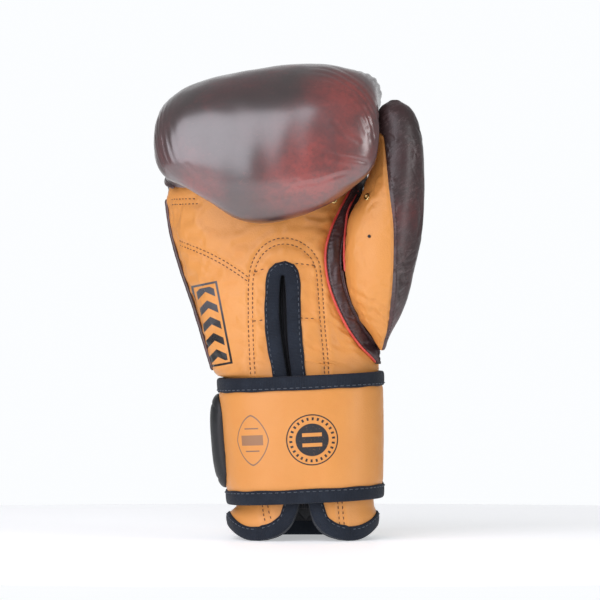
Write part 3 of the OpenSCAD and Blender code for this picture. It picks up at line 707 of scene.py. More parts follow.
M = {
    "tan": tan_leather("Tan_leather"), "tan_strap": tan_leather("Tan_strap", strap_prints),
    "tan_palm": tan_leather("Tan_palm", palm_prints), "dark": dark_leather("Dark_leather", coat=0.4),
    "fist": dark_leather("Antiqued_leather", True, coat=1.0, polish=0.33),
    "thumb": dark_leather("Wrinkled_leather", False, 0.32, 0.30, 0.38),
    "tape": tape("Navy_tape"), "red": red_leather("Red_piping"),
    "thread_brown": thread("Brown_thread", (0.075, 0.028, 0.010), (0.16, 0.065, 0.022)),
    "thread_dark": thread("Dark_thread", (0.020, 0.010, 0.010), (0.055, 0.030, 0.028)),
    "thread_blue": thread("Blue_thread", (0.032, 0.044, 0.064), (0.075, 0.095, 0.125)),
    "elastic": elastic("Black_elastic"), "patch": moulded("Moulded_patch"), "brass": brass("Brass"),
    "satin": satin("Quilted_lining"), "loop": fuzzy("Loop_pile"), "hook": fuzzy("Hook_pile", True),
}


def finish_piece(ob, mat, body=None, bend=None, replaces=()):
    """Faces turned outwards, material and slot, and the body; a piece given a bend only has its transform
    baked in. Hides the CAD nodes that the piece stands for.
    """
    outward(ob)
    ob.data.materials.clear()
    ob.data.materials.append(M[mat])
    if bend:
        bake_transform(ob)
    else:
        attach(ob, body)
    if replaces:
        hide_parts(*replaces)
    return ob


# bends: the two bodies, and where the turn starts and ends
TO_FIST = ("glove", "fist", (0, 0, 192), (0, 0, 228))
TO_STRAP = ("glove", "strap_palm", (52, -26, 64), (36.4, -41.6, 64))
TO_TAIL = ("strap_palm", "strap_tail", (-30, -43.5, 64), (-40.4, -25.4, 64))
TO_THUMB_LOW = ("glove", "thumb", (0.93 * 78.5, 0, 0.366 * 78.5), (0.93 * 85, 0, 0.366 * 85))
TO_THUMB_UP = ("glove", "thumb", (-0.936 * 48, 0, 0.35 * 48), (-0.936 * 41.5, 0, 0.35 * 41.5))


def stitches(name, rows, mat, body=None, bend=None, spacing=3.3, length=2.3, r=0.33):
    """Sewn rows: a slightly arched thread for each stitch. Each row is (points, outward directions)."""
    pts, faces = [], []
    for P, N in rows:
        d = run_of(P)
        count = max(1, int(d[-1] // spacing))
        for k in range(count):
            c = (k + 0.5) * d[-1] / count
            s = np.array([-0.5, -0.42, -0.2, 0.2, 0.42, 0.5]) * length + c
            line = np.stack([np.interp(s, d, P[:, i]) for i in range(3)], -1)
            nrm = np.array([np.interp(c, d, N[:, i]) for i in range(3)])
            nrm = unit(nrm)
            side = np.cross(nrm, unit(line[-1] - line[0]))
            height = np.array([-0.45, -0.1, 0.12, 0.12, -0.1, -0.45]) + r * 0.55
            radius = np.array([0.35, 0.85, 1, 1, 0.85, 0.35]) * r
            base = len(pts)
            for q, h, rr in zip(line, height, radius):
                for w in range(6):
                    a = w * math.pi / 3
                    pts.append(q + nrm * (h + rr * math.sin(a)) + side * rr * math.cos(a))
            for i in range(5):
                for w in range(6):
                    a, b = base + i * 6 + w, base + i * 6 + (w + 1) % 6
                    faces.append((a, b, b + 6, a + 6))
            faces.append(tuple(base + w for w in range(5, -1, -1)))
            faces.append(tuple(base + 30 + w for w in range(6)))
    ob = build(name, np.array(pts), faces, np.array(pts)[:, :2])
    return finish_piece(ob, mat, body, bend)


def evened(Q):
    """Each inner point drawn towards its neighbours."""
    Q[1:-1] = (Q[:-2] + 2 * Q[1:-1] + Q[2:]) / 4


def lay_on(ob, rows, sink=0.30):
    """Moves each sewn row onto the finished surface of a piece, along the row's outward directions."""
    reach = 5.0
    tree = BVHTree.FromObject(ob, bpy.context.evaluated_depsgraph_get())
    laid = []
    for P, N in rows:
        Q = np.array(P, float)
        for i, (p, n) in enumerate(zip(P, N)):
            way = Vector(n).normalized()
            hit = tree.ray_cast((Vector(p) + way * reach) * 0.001, -way, 2 * reach * 0.001)[0]
            if hit is not None:
                Q[i] = np.array(hit) * 1000 - n * sink
        evened(Q)
        evened(Q)
        laid.append((Q, N))
    return laid


# ---------------------------------------------------------------- sewn lines on the palm: x and real height
ARCH_OUT = [(-31, 102), (-32.2, 120), (-32.8, 150), (-32.6, 165), (-30.5, 176), (-25, 185), (-17, 190.2),
            (-9, 191.3), (-1, 189.5), (7, 184), (12, 176), (13.6, 165), (15.2, 140), (17.2, 120), (18.4, 102)]
ARCH_IN = [(-28.2, 102), (-29.4, 120), (-30, 150), (-29.8, 164), (-28, 173.5), (-23.4, 181.5), (-16.5, 186.4),
           (-9, 187.4), (-2, 186), (4.8, 181), (9.4, 174), (10.9, 164), (12.6, 140), (14.6, 120), (15.8, 102)]
ROWS = [ARCH_OUT, ARCH_IN,
        [(-29.6, 169), (-22, 171.8)], [(-3.6, 175), (9.6, 173.6)],
        [(-30, 138.5), (-22.8, 139.2)], [(-1, 140.6), (12.6, 139.8)],
        [(-77.5, 189.6), (-60, 183), (-45, 175), (-32.5, 166.2)],
        [(-77, 186.8), (-60, 180.2), (-46, 172.6), (-33, 163.6)],
        [(-82.5, 216), (-66, 216)], [(-82, 212.6), (-64, 212.8)],
        [(-24, 23.5), (-23.2, 17), (-22, 12.2)], [(-20.6, 23.5), (-19.8, 18), (-18, 13.2)],
        [(23.6, 25.8), (24.4, 18), (25, 9.6)], [(26.4, 26), (27.2, 18), (28, 9.4)]]
ROWS = [smooth_path(r, 1.5) for r in ROWS]


def palm_relief(P):
    """Outward relief of the palm's leather: valleys under the stitches, swells beside them, soft creases."""
    x, z = P[..., 0], P[..., 2]
    h = 0.35 * wave(P, 3, 60) + 0.10 * wave(P, 4, 16)
    for row in ROWS:
        d = to_line(x, z, row)
        pucker = 1 + 0.35 * np.sin((x + z) * 2 * math.pi / 3.3)
        h = h - 0.75 * bell(d, 1.1) * pucker + 0.30 * bell(d - 3.4, 1.9)
    gz, gx = GUSSET[:, 0], GUSSET[:, 1]
    edge = to_line(x, z, np.stack([gx - 0.6, gz + tilt(gx, gz)], -1))
    h = h - 0.9 * bell(edge, 1.6) + 0.5 * bell(edge - 5, 3)
    h = h + 0.22 * bell(edge, 7) * np.sin((z * 0.9 + x * 0.5) * 2 * math.pi / 5.2 + 2 * wave(P, 8, 30))
    for centre, tip, depth, width in [((6, 205), (25, 203), 0.8, 1.5), ((-4, 199), (16, 197.5), 0.45, 1.8),
                                      ((-50, 112), (-58, 122), 0.5, 1.6), ((-52, 105), (-40, 109), 0.6, 1.5),
                                      ((34, 113), (44, 108), 0.4, 1.9), ((-70, 160), (-58, 163), 0.3, 1.6),
                                      ((-64, 128), (-52, 132), 0.35, 1.6)]:
        d = to_line(x, z, [centre, tip])
        h = h - depth * bell(d, width) + 0.5 * depth * bell(d - 2.6 * width, width)
    return h


def slit_keep(P, margin):
    """Where the palm's leather stays: outside the slit and its bound edge."""
    x, z = P[..., 0], P[..., 2]
    inside = (x > col(SLIT, z, 1) - margin) & (x < col(SLIT, z, 2) + margin) & (z < SLIT_TOP[1])
    cap = np.hypot(x - SLIT_TOP[0], z - SLIT_TOP[1]) < SLIT_R + margin
    return ~(inside | cap)


# ---------------------------------------------------------------- palm
def palm_piece():
    nz, na = 190, 150
    z = np.concatenate([np.linspace(0, 20, 20, endpoint=False), np.linspace(20, HAND_TOP, nz - 20)])
    foot = np.maximum(z, GUSSET[0, 0])
    last = np.minimum(359, direction_of(HAND, foot, col(GUSSET, foot, 1)))
    step = ease((z - 108) / 7)
    last = 360 * (1 - step) + (last + 0.8) * step
    a = 182.4 + (last[:, None] - 182.4) * np.linspace(0, 1, na)[None, :]
    P = around(HAND, z[:, None], a)
    x_top = P[-1, :, 0]
    rise = 3.0 + 21.0 * ease((-x_top - 38) / 34)
    lean_in = 2.6 * ease((-x_top - 60) / 15)
    more = [P[-1] + np.stack([lean_in * k ** 0.6, 1.2 * k * np.ones_like(x_top), rise * k], -1)
            for k in np.linspace(0.08, 1, 14)]
    P = np.concatenate([P, np.array(more)])
    nz += len(more)
    ci, cj = np.linspace(0, nz - 1, 52).astype(int), np.linspace(0, na - 1, 44).astype(int)
    C = P[np.ix_(ci, cj)]
    pins = ~slit_keep(C, 9) | (C[..., 2] < 104)
    pins[:, :1] = pins[:, -1:] = True
    pins[0] = pins[-1] = True
    for row in ROWS:
        pins |= to_line(C[..., 0], C[..., 2], row) < 1.6
    spread = refine(puff(C, False, pins, pressure=2.4, grow=0.012, cap=2.4, frames=14), nz, na)
    N = normals(P)
    out = np.clip((spread * N).sum(-1, keepdims=True), -0.8, 2.0)
    above_cuff = ease((P[..., 2:3] - 104) / 14)
    beside_strap = ease((np.abs(P[..., 2:3] - STRAP_Z - STRAP_H / 2) - 36) / 8)
    P = P + N * (out * above_cuff + palm_relief(P)[..., None] * beside_strap)
    return finish_piece(shell("palm_panel", P, 1.8, keep=slit_keep(P, 2.5)), "tan_palm", bend=TO_FIST,
                        replaces=("palm_leather", "palm_foam", "cuff_foam"))


palm = palm_piece()


def palm_rows(rows):
    """The sewn lines on the palm face, each with its outward directions."""
    made = []
    for r in rows:
        p = palm_point(r[:, 0], r[:, 1])
        base = palm_point(r[:, 0], r[:, 1], 1.0) - p
        dx = palm_point(r[:, 0] + 0.5, r[:, 1]) - palm_point(r[:, 0] - 0.5, r[:, 1])
        dz = palm_point(r[:, 0], r[:, 1] + 0.5) - palm_point(r[:, 0], r[:, 1] - 0.5)
        n = np.cross(dx, dz)
        n = unit(n)
        n = n * np.sign((n * base).sum(-1, keepdims=True))
        made.append((p - n * 0.30, n))
    return made


stitches("palm_stitching", lay_on(palm, palm_rows(ROWS), sink=0.1), "thread_brown", bend=TO_FIST,
         spacing=2.9, length=2.0, r=0.30)


# ---------------------------------------------------------------- back, side and cuff
def back_piece():
    """Dark leather from the gusset round the back to the seam, carried up under the knuckle pad."""
    z = np.linspace(CUFF_TOP + 0.3, HAND_TOP, 100)
    turns = np.linspace(0, FOLD_TURN, 17)
    na = 170
    first = np.minimum(0.4 - 22.4 * ease((z - 107) / 5), np.where(z < 116, 0.4, gusset_edge(z, 2) - 359))
    a = first[:, None] + (183.2 - first[:, None]) * np.linspace(0, 1, na)[None, :]
    P = around(HAND, z[:, None], a)
    x_last, q_last = P[-1, :, 0], P[-1, :, 1] - FOLD_Y
    upper = []
    for t in turns[1:]:
        grow = col(FIST, t, 2) / col(FIST, 0, 2)
        q = np.maximum(q_last * grow, 0.5)
        upper.append(np.stack([x_last, FOLD_Y + q * cosd(t), FOLD_Z + LEAN * x_last + q * sind(t)], -1))
    P = np.concatenate([P, np.array(upper)])
    N = normals(P)
    rows = np.concatenate([z, 228 + turns[1:] * 1.5])[:, None, None]
    inset = 3.4 * ease((rows - 240) / 9)
    tucked = 0.9 * ease((2 - np.concatenate([a, np.repeat(a[-1:], len(turns) - 1, 0)])) / 8)[..., None]
    relief = 0.45 * wave(P, 21, 55)[..., None] + 0.12 * wave(P, 22, 14)[..., None]
    crease = 0
    for base, tilt_deg, depth in [(215, 6, 0.9), (209, -5, 0.6), (221, 3, 0.7),
                                  (122, 8, 0.6), (114, -6, 0.8), (131, 12, 0.4)]:
        slope = LEAN + math.tan(math.radians(tilt_deg)) * 0.4
        d = P[..., 2] - base - P[..., 0] * slope - 2.2 * wave(P, base, 70)
        fade = np.abs(np.sin(P[..., 0] / 38 + base)) ** 0.7
        crease = crease - depth * bell(d, 1.5) * fade + 0.4 * depth * bell(d - 3.6, 2.0) * fade
    edge = np.minimum(np.arange(na), na - 1 - np.arange(na))[None, :] * 1.3
    puckers = np.sin(P[..., 2] * 2 * math.pi / 4.2 + 2 * wave(P, 5, 30))
    seam = -1.2 * bell(edge, 2.2) + 0.25 * bell(edge, 9) * puckers
    P = P + N * (relief + (crease + seam)[..., None] - inset - tucked)
    back = shell("back_panel", P, 1.6)
    finish_piece(back, "dark", bend=TO_FIST,
                 replaces=("back_leather", "side_leather", "back_foam", "side_foam"))
    zs = CUFF_TOP + 5
    ang = np.linspace(6, 178, 120)
    rows = []
    for dz in (0, 3.2):
        p = around(HAND, zs + dz, ang)
        q = around(HAND, zs + dz, ang, -1.0)
        n = (q - p) * [1, 1, 0]
        n = unit(n)
        rows.append((p + n * 0.35, n))
    stitches("back_stitching", lay_on(back, rows), "thread_dark", body="glove")


back_piece()


def cuff_back_piece():
    """Tan leather round the back of the wrist."""
    top, first, last = CUFF_TOP - 0.1, -0.6, 184.6
    z = np.linspace(0, top, 100)
    a = np.linspace(first, last, 130)[None, :]
    P = around(HAND, z[:, None], a)
    edge = np.minimum(a - first, last - a)
    h = 0.3 * wave(P, 31, 40) - 1.0 * bell(edge, 1.2) - 0.6 * bell(z[:, None] - top, 1.5)
    P = P + normals(P) * (h[..., None] * 0.6 - 0.1)
    finish_piece(shell("cuff_back_panel", P, 1.6), "tan", body="glove", replaces=("cuff_back_leather",))


cuff_back_piece()


def tube_along(name, P, r, mat, body=None, bend=None, replaces=(), up=(0, -1, 0)):
    """A slightly uneven round roll of leather along a path, tapered at its ends."""
    P = resample(P, 0.9)
    T = unit(np.gradient(P, axis=0))
    A = unit(np.cross(T, np.array(up, float)))
    B = np.cross(A, T)
    t = np.linspace(0, 2 * math.pi, 12, endpoint=False)[None, :, None]
    from_end = np.minimum(np.arange(len(P)), len(P) - 1 - np.arange(len(P)))
    radius = r * np.minimum(1, 0.45 + from_end * 0.4) * (1 + 0.06 * wave(P, 11, 5))
    R = P[:, None, :] + radius[:, None, None] * (np.cos(t) * A[:, None, :] + np.sin(t) * B[:, None, :])
    return finish_piece(sweep(name, R), mat, body, bend, replaces)


p = around(HAND, np.linspace(CUFF_TOP + 4, 226.6, 150), SEAM_SIDE)
tube_along("side_welt_roll", p + np.array([-0.9, 0, 0]), 1.35, "dark", bend=TO_FIST,
           replaces=("side_welt",), up=(1, 0, 0))


# ---------------------------------------------------------------- bindings
def u_profile(wall, reach, crown=0.35):
    """Outline of folded tape: inner reach, over the edge, outer reach with a rounded crown, and back."""
    o, g = TAPE_T + GAP, GAP
    inner = [(-o, c) for c in np.linspace(reach, 0.6, 4)]
    r = 1.3
    round_in = [(-o + r * (1 - math.cos(t)), 0.3 - r * math.sin(t))
                for t in np.linspace(0.25, math.pi / 2, 4)]
    under = [(c, -1.0) for c in np.linspace(1.2, wall - 1.2, 3)]
    round_out = [(wall + o - r * (1 - math.sin(t)), 0.3 - r * math.cos(t)) for t in np.linspace(0, 1.3, 5)]
    outer = []
    for c in np.linspace(0.7, reach, 11):
        swell = crown * math.sin(math.pi * min(1, (c + 0.2) / (reach + 0.2))) ** 0.7
        outer.append((wall + o + swell - (0.25 if c > reach - 0.5 else 0), c))
    back = [(wall + g, reach), (wall + g, 0.2), (-g, 0.2), (-g, reach)]
    return inner + round_in + under + round_out + outer + back


def level_at(z, a):
    """Level of the cuff that lies at height z in direction a, above the raised hem."""
    k = hem(a) + TAPE_T + GAP
    return np.maximum(0, np.where(z < 20, (z - k) / (1 - k / 20), z))


def wall_point(x, z, depth):
    """Point of the palm-side wall at x and height z, depth millimetres out from the wall's inner face."""
    level = level_at(z, 270.0)
    a = direction_of(HAND, level, x)
    q = around(HAND, level, a, WALL - depth)
    return np.stack([q[..., 0], q[..., 1], z + tilt(x, level)], -1)


def slit_tape():
    """Tape folded over the slit's edge. Gives the line of its stitches."""
    zz = np.concatenate([np.linspace(0, 24, 200), np.linspace(24.2, SLIT_TOP[1], 300)])
    left = np.stack([col(SLIT, zz, 1), zz], -1)
    right = np.stack([col(SLIT, zz, 2), zz], -1)[::-1]
    t = np.linspace(math.pi, 0, 24)
    over = SLIT_TOP + SLIT_R * np.stack([np.cos(t), np.sin(t)], -1)
    path = resample(np.concatenate([left, over, right]), 0.8)
    T = np.gradient(path, axis=0)
    for _ in range(4):
        evened(T)
    T = unit(T)
    S = np.stack([-T[:, 1], T[:, 0]], -1)
    n = len(path)
    near_end = ease(1 - np.minimum(np.arange(n), n - 1 - np.arange(n)) / 6.0)[:, None]
    S = S * (1 - near_end) + np.array([0, 1.0]) * near_end
    S = unit(S)
    prof = u_profile(WALL, TAPE_W, 0.95)
    wob = 0.25 * np.sin(np.arange(n) * 0.8 / 7.0) + 0.12 * np.sin(np.arange(n) * 0.8 / 2.3)
    rings = []
    for c0, c1 in prof:
        q = path + S * (c1 + TAPE_T + (wob[:, None] if c1 > 6 else 0))
        depth = c0 if c0 > 0 else c0 - 0.5
        rings.append(wall_point(q[:, 0], q[:, 1], depth))
    finish_piece(sweep("slit_tape", np.stack(rings, 1)), "tape", body="glove", replaces=("slit_binding",))
    q = path + S * (TAPE_W - 1.6 + TAPE_T)
    p = wall_point(q[:, 0], q[:, 1], WALL + 1.75)
    n2 = p - wall_point(q[:, 0], q[:, 1], WALL)
    keep = slice(4, -4)
    return p[keep], unit(n2)[keep]


def hem_tape():
    """Tape folded over the lower edge. Gives the line of its stitches."""
    start = float(direction_of(HAND, 0.0, SLIT[0, 2] + 0.2)) - 360
    end = float(direction_of(HAND, 0.0, SLIT[0, 1] - 0.2))
    a = np.linspace(start, end, 340)
    prof = u_profile(WALL, TAPE_W)
    rings = []
    wob = 0.25 * np.sin(np.arange(len(a)) / 9.0)
    for c0, c1 in prof:
        z = hem(a) + TAPE_T + c1 + (wob if c1 > 6 else 0)
        depth = c0 if c0 > 0 else c0 - 0.5
        p = around(HAND, level_at(z, a), a, WALL - depth)
        rings.append(np.stack([p[:, 0], p[:, 1], z], -1))
    finish_piece(sweep("hem_tape", np.stack(rings, 1)), "tape", body="glove", replaces=("hem_binding",))
    z = hem(a) + TAPE_T + TAPE_W - 1.6
    p = around(HAND, level_at(z, a), a, -1.35)
    q = around(HAND, level_at(z, a), a, 0)
    p[:, 2] = q[:, 2] = z
    n = p - q
    return p[3:-3], unit(n)[3:-3]


rows = [slit_tape(), hem_tape()]
stitches("tape_stitching", rows, "thread_blue", body="glove", spacing=3.6, length=2.3, r=0.26)


def slit_elastic():
    """Ribbed elastic behind the slit."""
    z = np.linspace(20, 174, 120)
    at = np.minimum(z, SLIT_TOP[1])
    v = np.linspace(-14, 14, 60)
    X = ((col(SLIT, at, 1) + col(SLIT, at, 2)) / 2)[:, None] + v[None, :]
    rib = 0.15 * np.sin(v * 2 * math.pi / 2.0)[None, :]
    P = around(HOLLOW, z[:, None], direction_of(HOLLOW, z[:, None], X), TAPE_T + 0.8 + GAP - rib)
    P[..., 1] += 0.4
    finish_piece(shell("slit_elastic", P, 1.0), "elastic", body="glove", replaces=("slit_gusset",))


slit_elastic()


# ---------------------------------------------------------------- lining
def lining():
    """Quilted cloth inside the hand compartment, closed at its top."""
    P = around(HOLLOW, np.linspace(2, 226, 110)[:, None], np.arange(0, 360, 4.0)[None, :], 0.4)
    top = P[-1]
    centre = top.mean(0)
    cap = [centre + (top - centre) * s + np.array([0, 0, h])
           for s, h in ((0.96, 0.6), (0.75, 1.0), (0.4, 1.1), (0.05, 1.1))]
    P = np.concatenate([P, np.array(cap)])
    ok = slit_keep(P, 1.2) | (P[..., 1] > -5)
    finish_piece(shell("quilted_lining", P, 0.8, wrap_v=True, keep=ok), "satin", body="glove",
                 replaces=("hand_lining", "finger_lining", "thumb_lining"))


lining()


# ---------------------------------------------------------------- strap
def strap_point(a, d, h):
    """Point of the closed strap in direction a, d out from its inner face and h up from its lower edge."""
    a, d, h = np.broadcast_arrays(*(np.asarray(v, float) for v in (a, d, h)))
    z = STRAP_Z + h
    p = around(WRAP, z, a, -d)
    return np.stack([p[..., 0], p[..., 1], z + STRAP_LEAN * p[..., 0]], -1)


def strap_length(tag, a0, a1, n, bend, stands_for):
    """One length of the strap: padded leather band, two bound edges and their stitching."""
    a = np.linspace(a0, a1, n)
    h = np.linspace(0.6, STRAP_H - 0.6, 74)
    ridge = np.minimum(h, STRAP_H - h)
    pillow = 0.9 * (1 - np.exp(-np.maximum(0, ridge - TAPE_W) / 5.0)) - 0.5 * bell(ridge - TAPE_W - 0.6, 1.3)
    base = strap_point(a[:, None], STRAP_T, h[None, :])
    d = STRAP_T + 0.35 + pillow[None, :] * 0.75 + 0.10 * wave(base, 41, 26) + 0.05 * wave(base, 42, 9)
    outer = strap_point(a[:, None], d, h[None, :])
    inner = strap_point(a[:, None], 0.15, h[None, ::-1])
    R = np.concatenate([outer, inner], 1)
    run = run_of(strap_point(a, STRAP_T, STRAP_H / 2))
    run = (run[-1] if a1 == STRAP_CORNER else 0) - run
    cut = np.stack(np.broadcast_arrays(run[:, None], np.concatenate([h, h[::-1] + 200])[None, :]), -1)
    ob = sweep("strap_leather_" + tag, R, uv=cut)
    finish_piece(ob, "tan_strap", bend=bend, replaces=stands_for[:1])
    rows = []
    for edge, foot, way, rep in (("lower", 1 - GAP, 1, stands_for[1:]), ("upper", STRAP_H - 1 + GAP, -1, ())):
        ring = []
        for c0, c1 in u_profile(STRAP_T, TAPE_W, 0.3):
            wob = 0.2 * np.sin(a / 5.0) * (c1 > 6)
            ring.append(strap_point(a, c0, foot + way * (c1 + wob)))
        finish_piece(sweep("strap_tape_" + edge + "_" + tag, np.stack(ring, 1)), "tape", bend=bend,
                     replaces=rep)
        line = foot + way * (TAPE_W - 1.5)
        p = strap_point(a, STRAP_T + 1.42, line)
        rows.append((p, unit(p - strap_point(a, STRAP_T, line))))
    stitches("strap_stitching_" + tag, rows, "thread_blue", bend=bend, spacing=3.9, length=2.5, r=0.27)


strap_length("thumb_side", 35, STRAP_CORNER, 190, TO_STRAP, ("strap_root_leather", "strap_root_bindings"))
strap_length("little_finger_side", STRAP_CORNER, -300, 300, TO_TAIL,
             ("strap_tail_leather", "strap_tail_bindings"))
for node, piece in (("strap_palm_leather", "strap_leather_thumb_side"),
                    ("strap_palm_bindings", "strap_tape_lower_thumb_side")):
    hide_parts(node)


def strap_end():
    """Tape over the strap's free end."""
    h = np.linspace(TAPE_W * 0.2, STRAP_H - TAPE_W * 0.2, 90)
    ring = []
    for c0, c1 in u_profile(STRAP_T, 6.0, 0.3):
        ring.append(strap_point(-299.2 + (c1 + 0.2) * 1.15, c0 * 1.18 - 0.18, h))
    finish_piece(sweep("strap_end_tape", np.stack(ring, 1)), "tape", body="strap_tail")


strap_end()


def patch_piece():
    """The moulded closure patch: a domed cap with a groove along its edges."""
    a = np.linspace(-226, -163, 90)[:, None]
    w = np.sqrt(np.maximum(0, 1 - np.abs((a + 194.5) / 31.5) ** 4))
    half = (STRAP_H - 19.6) / 2 * (0.55 + 0.45 * w)
    u = np.sin(np.linspace(-math.pi / 2, math.pi / 2, 70))[None, :]
    d = STRAP_T + 1.2 + 7.0 * w * np.sqrt(np.maximum(0, 1 - np.abs(u) ** 3))
    d = d - 0.5 * bell(np.abs(u) - 0.80, 0.03) * (w > 0.55)
    outer = strap_point(a, d, STRAP_H / 2 + half * u)
    inner = strap_point(a, STRAP_T + 0.1, STRAP_H / 2 + half * u[:, ::-1])
    finish_piece(sweep("closure_cap", np.concatenate([outer, inner], 1)), "patch", body="strap_tail",
                 replaces=("closure_patch",))


patch_piece()


def pile(name, tab_point, a0, a1, h0, h1, out, mat, body, rep):
    """A pile tape: a thin pad with a finely bumped face."""
    na, nh = 150, 130
    A, H = np.meshgrid(np.linspace(a0, a1, na), np.linspace(h0, h1, nh), indexing="ij")
    bumps = 0.22 * np.abs(np.sin(A * 2.2) * np.sin(H * 1.9)) + 0.05 * rng.random(A.shape)
    sgn = 1 if out[1] > out[0] else -1
    face = tab_point(A, out[1] - sgn * 0.25 + sgn * bumps, H)
    back = tab_point(A[:, ::-1], np.full_like(A, out[0]), H[:, ::-1])
    finish_piece(sweep(name, np.concatenate([face, back], 1)), mat, body=body, replaces=rep)


pile("loop_tape", lambda a, d, h: around(HAND, h, a, -d), 72, 144, 30, 98, (0.2, 1.5), "loop", "glove",
     ("loop_patch",))
pile("hook_tape", strap_point, -286, -214, 12, 68, (-0.1, -1.0), "hook", "strap_tail", ("hook_patch",))


# ---------------------------------------------------------------- fist
def fist_point(turn, t, inset=0.0):
    """Point of the fist's outline in direction t, at a turn about the knuckle fold."""
    turn, t = np.broadcast_arrays(np.asarray(turn, float), np.asarray(t, float))
    r0, r1, left, right, n = (col(FIST, turn, k) for k in range(1, 6))
    x = (left + right) / 2 + power(cosd(t), n) * ((right - left) / 2 - inset)
    q = (r0 + r1) / 2 + power(sind(t), n) * ((r1 - r0) / 2 - inset)
    return np.stack([x, FOLD_Y + q * cosd(turn), FOLD_Z + LEAN * x + q * sind(turn)], -1)


def fist_piece():
    """The padded fist, with its welt and stitches."""
    nt, nd = 230, 216
    turn = np.linspace(PAD_TURN, PAD_END, nt)
    t = np.arange(nd) * 360.0 / nd
    TT, DD = np.meshgrid(turn, t, indexing="ij")
    P = fist_point(TT, DD)
    ci, cj = np.linspace(0, nt - 1, 60).astype(int), np.arange(0, nd, 3)
    C = fist_point(turn[ci][:, None], t[cj][None, :], 1.6)
    pins = np.zeros(C.shape[:2], bool)
    pins[:2] = pins[-3:] = True
    pins |= (t[cj] > 225)[None, :] & (t[cj] < 315)[None, :]
    spread = refine(puff(C, True, pins, pressure=4.0, grow=0.03, cap=5.0, frames=20), nt, nd, True)
    N = normals(P, True)
    N *= np.sign(((P - P.mean((0, 1))) * N).sum())
    out = (spread * N).sum(-1)
    out = np.clip(out - (2.0), -0.3, 1.8)
    side = spread - (spread * N).sum(-1, keepdims=True) * N
    free = ease((TT - 20) / 20) * ease((238 - TT) / 12)
    P = P + N * (out * free)[..., None] + np.clip(side, -1, 1) * (free * 0.5)[..., None]
    x, y, z = P[..., 0], P[..., 1], P[..., 2]
    h = 0.55 * wave(P, 51, 75) + 0.14 * wave(P, 52, 22)
    # folds that run round the thumb-side shoulder, side by side with the outline
    rho = np.hypot((x - 2) / 47, (z - 249) / 51)
    bearing = np.degrees(np.arctan2((z - 249) / 51, (x - 2) / 47))
    front = ease((8 - y) / 30)
    band = bell(rho - 0.95, 0.12) * bell(bearing - 42, 34.0, 4) * front
    h = h + 0.85 * band * ridges((rho + 0.0011 * bearing) * 15 + 0.10 * wave(P, 53, 30), 0.75)
    # gathers of the back leather beside the thumb, swelling out a little
    shoulder = bell(DD - 16, 20.0) * bell(TT - 62, 22.0)
    h = h + 8.5 * shoulder + 1.2 * bell(DD - 16, 26.0, 4) * bell(TT - 58, 30.0, 4) * ridges(
        DD / 6.5 + 0.12 * wave(P, 57, 24), 0.8)
    band = bell(DD - 162, 16.0) * bell(TT - 118, 34.0, 4)
    h = h + 0.70 * band * ridges(DD / 7.0 - (TT - 120) * 0.012 + 0.12 * wave(P, 54, 30), 0.75)
    # gathers against the knuckle seam and soft creases across the face
    h = h + 0.35 * bell(TT - 14, 9.0) * ridges(DD / 5.0 + 0.3 * wave(P, 55, 25), 0.8)
    front = ease((-y - 50) / 8)
    for x0, z0, x1, z1, depth, width in [(-5, 222, 28, 230, 0.35, 1.3), (8, 246, 40, 238, 0.35, 1.3),
                                         (-2, 226, 14, 214, 0.25, 1.2), (-70, 236, -52, 224, 0.22, 1.5),
                                         (-30, 212, -6, 216, 0.25, 1.4), (20, 262, 36, 250, 0.25, 1.3)]:
        bowed = [(x0, z0), ((x0 + x1) / 2, (z0 + z1) / 2 - 1.2), (x1, z1)]
        d = to_line(x + 1.5 * wave(P, 56, 30), z, bowed)
        h = h - 0.6 * depth * bell(d, width) * front + 0.3 * depth * bell(d - 2.4, 1.3) * front
    P = P + N * (h * (0.35 + 0.65 * free))[..., None]
    P[..., 2] -= (3.4 * ease((TT - 196) / 30) * ease((x + 75) / 25))
    rings = [P]
    for s in (0.93, 0.72, 0.4, 0.06):
        first = P[0].mean(0) + (P[0] - P[0].mean(0)) * s
        rings.insert(0, first[None])
    end = P[-1]
    centre = end.mean(0)
    direction = unit(centre - P[-4].mean(0))
    for s, k in ((0.94, 1.0), (0.82, 2.2), (0.6, 3.3), (0.3, 4.0), (0.05, 4.2)):
        rings.append((centre + (end - centre) * s + direction * k)[None])
    pad = sweep("fist_pad", np.concatenate(rings), sharp=80)
    finish_piece(pad, "fist", body="fist",
                 replaces=("fist_leather", "knuckle_foam_outer", "knuckle_foam_inner"))
    # welt and stitches where the pad is sewn to the back
    q = fist_point(13.2, np.linspace(-28, 208, 260), -0.2)
    tube_along("knuckle_welt", q, 1.1, "dark", body="fist", up=(0.03, 0.3, 0.9))
    ang = np.linspace(-24, 204, 240)
    q = fist_point(FOLD_TURN, ang)
    n = unit(fist_point(FOLD_TURN, ang, -1.0) - q)
    stitches("knuckle_stitching", lay_on(pad, [(q, n)], sink=0.1), "thread_dark", body="fist")


fist_piece()


# ---------------------------------------------------------------- thumb
def thumb_point(z, a, inset=0.0):
    """Point of the thumb's outline at height z in direction a, in degrees."""
    z, a = np.broadcast_arrays(np.asarray(z, float), np.asarray(a, float))
    left, right, f, b = (col(THUMB, z, k) for k in (1, 2, 3, 4))
    c, s = cosd(a), sind(a)
    n = np.where((c < 0) & (s > 0), 1.05, 2.2)
    ax, ay = np.maximum(0.6, (right - left) / 2 - inset), np.maximum(0.6, (b - f) / 2 - inset)
    return np.stack([(left + right) / 2 + power(c, n) * ax, (f + b) / 2 + power(s, n) * ay, z], -1)


def seam_angle(z):
    """Direction of the seam between the thumb's tan and dark leather."""
    left, right = col(THUMB, z, 1), col(THUMB, z, 2)
    u = np.clip((2 * col(THUMB_SEAM, z, 1) - left - right) / (right - left), -0.995, 0.995)
    a = palm_side_angle(u, 1.1)
    return THUMB_BACK + (a - THUMB_BACK) * ease((266 - z) / 12)


